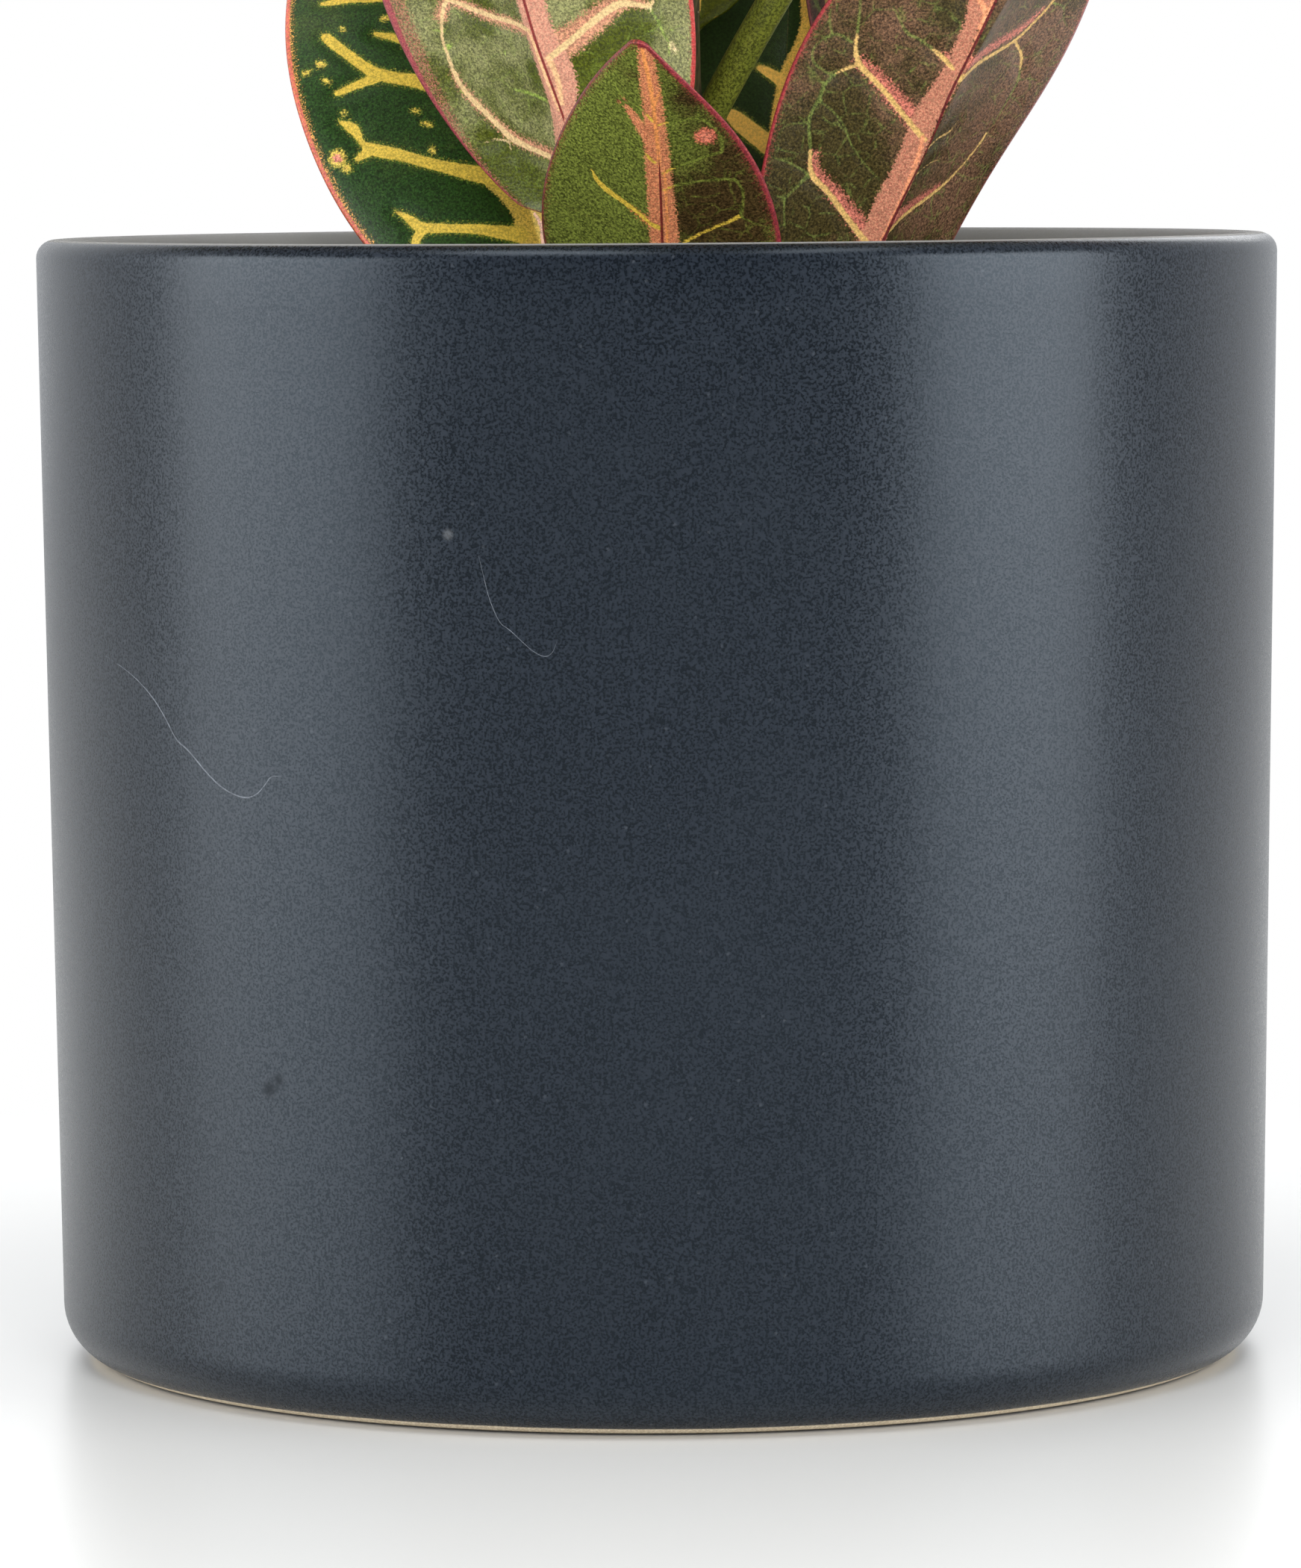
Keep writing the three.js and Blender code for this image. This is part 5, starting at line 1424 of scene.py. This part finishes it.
# The relief of a blade: it bulges between the veins, and less so beneath and between the finest of them. Near the
# margin it is flat. The tip and the edge are rounded off.
RELIEF = dict(bulge=0.3, reach=2.6, fine_bulge=0.08, sunk=0.22, beneath=0.7, flat_margin=8, keel_width=2.1,
              tip_from=0.985, tip_over=0.015, tip_thinnest=0.03, tip_margin=(0.45, 0.1), edge_power=10)
LEAST_COLUMNS, LEAST_COARSE, LEAST_STALK_ROWS = 8, 12, 4
SUNK_ROOT = 3.0  # how far a petiole is sunk in its stem
UV_SHIFT = (60.0, 30.0)  # keeps the flat blade's places above 0


def wider_by(wider, u, v):
    """How much wider the margin is, and its fringe past that, in millimetres."""
    if not wider:
        return 0 * u, 0 * u
    grown = (size * smooth((u - start) / over) for size, start, over in (wider["margin"], wider["fringe"]))
    return [np.where(v * wider["side"] > 0, value, plain) for value, plain in zip(grown, wider["elsewhere"])]


def leaf_piece(piece_name, leaf, strokes, finish, slot, node, cell, face=1, keel=1.0, wider=None, patches=()):
    """A leaf of one closed skin: round petiole, thin blade, keel below, and its markings as fields on its vertices."""
    total = leaf["petiole"] + leaf["blade"]
    stalk = stalk_share(leaf)
    fine = max(int(leaf["half_width"] / cell), LEAST_COLUMNS) * 2
    coarse = max(fine // 6 * 2, LEAST_COARSE)
    upper, lower = (fine, coarse) if face > 0 else (coarse, fine)
    stalk_rows = max(int((leaf["petiole"] + SUNK_ROOT) / (2 * cell)), LEAST_STALK_ROWS)
    shares = np.concatenate([
        np.linspace(-SUNK_ROOT / total, stalk, stalk_rows, endpoint=False),
        share_at(leaf, np.linspace(0, 1, int(leaf["blade"] / cell) + 1))])
    across = np.concatenate([np.linspace(-1, 1, upper + 1), np.linspace(1, -1, lower + 1)[1:]])
    sides = np.concatenate([np.ones(upper + 1), -np.ones(lower)])
    bm, columns, rows = sleeve(upper + lower, len(shares) - 1)
    share, v, side = shares[rows], across[columns], sides[columns]
    u = along_blade(leaf, share)
    past = np.clip(u - RELIEF["tip_from"], 0, 1) / RELIEF["tip_over"]
    ended = np.sqrt(np.clip(1 - past ** 2, RELIEF["tip_thinnest"], 1))
    wide = half_width(leaf, u) * ended
    flat = np.stack([v * wide, share * total - leaf["petiole"]], -1)
    fields = {kind: distance_to(strokes[kind], flat) for kind in MARKINGS}
    fields["line"] = across_line(strokes["line"], flat)
    quilt = (RELIEF["bulge"] * smooth(np.minimum(fields["core"], fields["band"]) / RELIEF["reach"])
             + RELIEF["fine_bulge"] * smooth(fields["green"]) - RELIEF["sunk"])
    quilt *= smooth((1 - np.abs(v)) * RELIEF["flat_margin"]) * (u > 0)
    under = keel * keel_height(u) * np.exp(-(flat[:, 0] / RELIEF["keel_width"]) ** 2)
    thick = BLADE["half_thickness"] * np.sqrt(1 - np.abs(v) ** RELIEF["edge_power"])
    offset = np.where(side > 0, thick, -thick - under) + quilt * np.where(side > 0, 1, -RELIEF["beneath"])
    place_vertices(bm, leaf_points(leaf, share, v * np.where(u > 0, ended, 1), side, 90, offset))
    close_ends(bm)
    piece = finish_piece(bm, piece_name, finish, slot, [node])
    wider_margin, wider_fringe = wider_by(wider, u, v)
    before_tip = (1 - u) * leaf["blade"] * RELIEF["tip_margin"][0] + RELIEF["tip_margin"][1]
    edge = np.where(u > 0, np.minimum(wide - np.abs(flat[:, 0]), before_tip), FAR)
    patch = sum((weight * np.exp(-((flat - place) ** 2).sum(1) / size ** 2) for place, size, weight in patches),
                0 * u)
    fields.update(
        edge=edge - wider_margin, across=v, along=np.where(u > 0, u, (share - stalk) / stalk),
        patch=patch, beneath=(side < 0) * 1.0, border=edge - wider_margin - wider_fringe)
    set_attributes(piece, fields)
    set_uv(piece, flat + np.array(UV_SHIFT))
    return piece


def make_leaf(name, leaf, count, finishes):
    """A large leaf: as the photograph shows it where it is in the picture, and else by its age."""
    shown = SHOWN.get(name, {})
    kind, age = next((kind, age) for kind, age in AGES.items() if leaf["age"] <= age["up_to"])
    choice = finishes[name if shown else kind]
    seed, face = SEEDS["leaf"] + SEEDS["next_leaf"] * count, shown.get("face", 1)
    veins = SeenVenation(leaf, seed, name, face) if name in SEEN else Venation(leaf, seed)
    return leaf_piece(
        name.replace("leaf_", "broad_leaf_"), leaf, veins.strokes, choice[count % len(choice)],
        shown.get("slot", age["slot"]), name, shown.get("cell", CROWN_CELL), face, shown.get("keel", 1.0),
        shown.get("wider"), veins.patches() if name in SEEN else ())


# ---------------------------------------------------------------- camera, stage and light

SENSOR = 36
# Each soft light, in metres: where it is, what it points at, its size, and its power in watts.
LIGHTS = {
    "left_softbox": dict(at=(-1.85, -0.56, 0.5), towards=(0, 0, 0.12), size=(1.7, 1.5), power=37),
    "right_softbox": dict(at=(1.66, -0.74, 0.42), towards=(0, 0, 0.12), size=(1.3, 1.5), power=35),
    "back_softbox": dict(at=(0.3, 1.9, 1.3), towards=(0, 0, 0.25), size=(1.6, 1.2), power=14),
    "top_softbox": dict(at=(0, -0.4, 2.0), towards=(0, 0, 0.2), size=(1.8, 1.6), power=46),
    "front_fill": dict(at=(0, -2.1, 0.9), towards=(0, 0, 0.15), size=(2.4, 1.2), power=54, glossy=False),
}
TABLE_RADIUS = 3
WHITE_FROM = (0.24, 0.34)  # how far from the pot's middle the table fades to the white of the backdrop


def set_camera():
    data = bpy.data.cameras.new("camera")
    data.sensor_width = SENSOR
    data.sensor_fit = "AUTO"
    data.lens = PHOTO["focal"] * SENSOR / PHOTO["height"]
    data.clip_start, data.clip_end = 0.05, 30
    camera = bpy.data.objects.new("camera", data)
    right, up, ahead = camera_axes()
    turn = Matrix((right, up, -ahead)).transposed().to_4x4()
    camera.matrix_world = Matrix.Translation(Vector(CAMERA["at"]) * MM) @ turn
    bpy.context.scene.collection.objects.link(camera)
    bpy.context.scene.camera = camera


def area_light(name, at, towards, size, power, glossy=True):
    data = bpy.data.lights.new(name, "AREA")
    data.shape = "RECTANGLE"
    data.size, data.size_y = size
    data.energy = power
    light = bpy.data.objects.new(name, data)
    turn = (Vector(towards) - Vector(at)).to_track_quat("-Z", "Y").to_matrix().to_4x4()
    light.matrix_world = Matrix.Translation(at) @ turn
    light.visible_glossy = glossy
    bpy.context.scene.collection.objects.link(light)


def set_backdrop():
    """A white backdrop that lights the plant less from in front than from behind."""
    world = bpy.data.worlds.new("white studio")
    bpy.context.scene.world = world
    world.use_nodes = True
    make = Recipe(world.node_tree)
    make.tree.nodes.clear()
    way = make.node("SeparateXYZ", {"Vector": make.node("TexCoord").outputs["Generated"]}).outputs["Y"]
    cast = make.node("Background", {"Color": (0.95, 0.97, 1, 1), "Strength": make.fade(way, -0.5, 0.75, 0.2, 1.0)})
    seen = make.node("Background", {"Color": (1, 1, 1, 1)})
    pick = make.node("MixShader", {"Fac": make.node("LightPath").outputs["Is Camera Ray"],
                                   1: cast.outputs["Background"], 2: seen.outputs["Background"]})
    make.node("OutputWorld", {"Surface": pick.outputs["Shader"]})


def set_table():
    """A pale table top that fades to white away from the pot."""
    make = Finish("white_table_top")
    make.set(Base_Color=(0.55, 0.55, 0.54, 1), Roughness=0.3)
    fade = make.node("MapRange", {"Value": make.length(make.object_place()), "From Min": WHITE_FROM[0],
                                  "From Max": WHITE_FROM[1]})
    glowing = make.times(fade.outputs["Result"], make.node("LightPath").outputs["Is Camera Ray"])
    pick = make.node("MixShader", {"Fac": glowing, 1: make.shaded, 2: make.node("Emission").outputs["Emission"]})
    make.feed(make.output, pick.outputs["Shader"])

    bm = bmesh.new()
    bmesh.ops.create_circle(bm, cap_ends=True, segments=128, radius=TABLE_RADIUS)
    mesh = bpy.data.meshes.new("white_table")
    bm.to_mesh(mesh)
    bm.free()
    mesh.materials.append(make.material)
    floor = bpy.data.objects.new("white_table", mesh)
    bpy.context.scene.collection.objects.link(floor)


# ---------------------------------------------------------------- the whole plant

bpy.context.scene.view_settings.view_transform = "Standard"
set_camera()
set_backdrop()
set_table()
for name, light in LIGHTS.items():
    area_light(name, **light)

leaves = all_leaves()
make_pot(make_glaze())
make_soil(make_mix_finish())
for name, bits in BITS.items():
    make_bits(name, **bits)
scratch = make_plain_grit("glaze_scratch", (62, 68, 76), (96, 102, 110), 0.5)
for name, line in SCRATCHES.items():
    make_hairline(name, **line, finish=scratch)
bark = make_bark()
for name in STEMS:
    make_stem(name, [leaf for leaf in leaves.values() if leaf["stem"] == name], bark)

leaf_skin = make_leaf_skin(make_leaf_markings())
kinds = {**{name: [shown["finish"]] for name, shown in SHOWN.items()},
         **{kind: age["finishes"] for kind, age in AGES.items()}}
finishes = {kind: [leaf_finish(leaf_skin, *row) for row in rows] for kind, rows in kinds.items()}
for count, (name, leaf) in enumerate(leaves.items()):
    make_leaf(name, leaf, count, finishes)
for name in STEMS:
    for number, leaf in enumerate(young_leaves(name), 1):
        veins = Venation(leaf, SEEDS["young"] + number, **YOUNG_VEINS)
        leaf_piece(f"young_leaf_{name}_{number}", leaf, veins.strokes, finishes["young"][0], "leaf_olive",
                   f"stem_{name}", YOUNG_CELL)
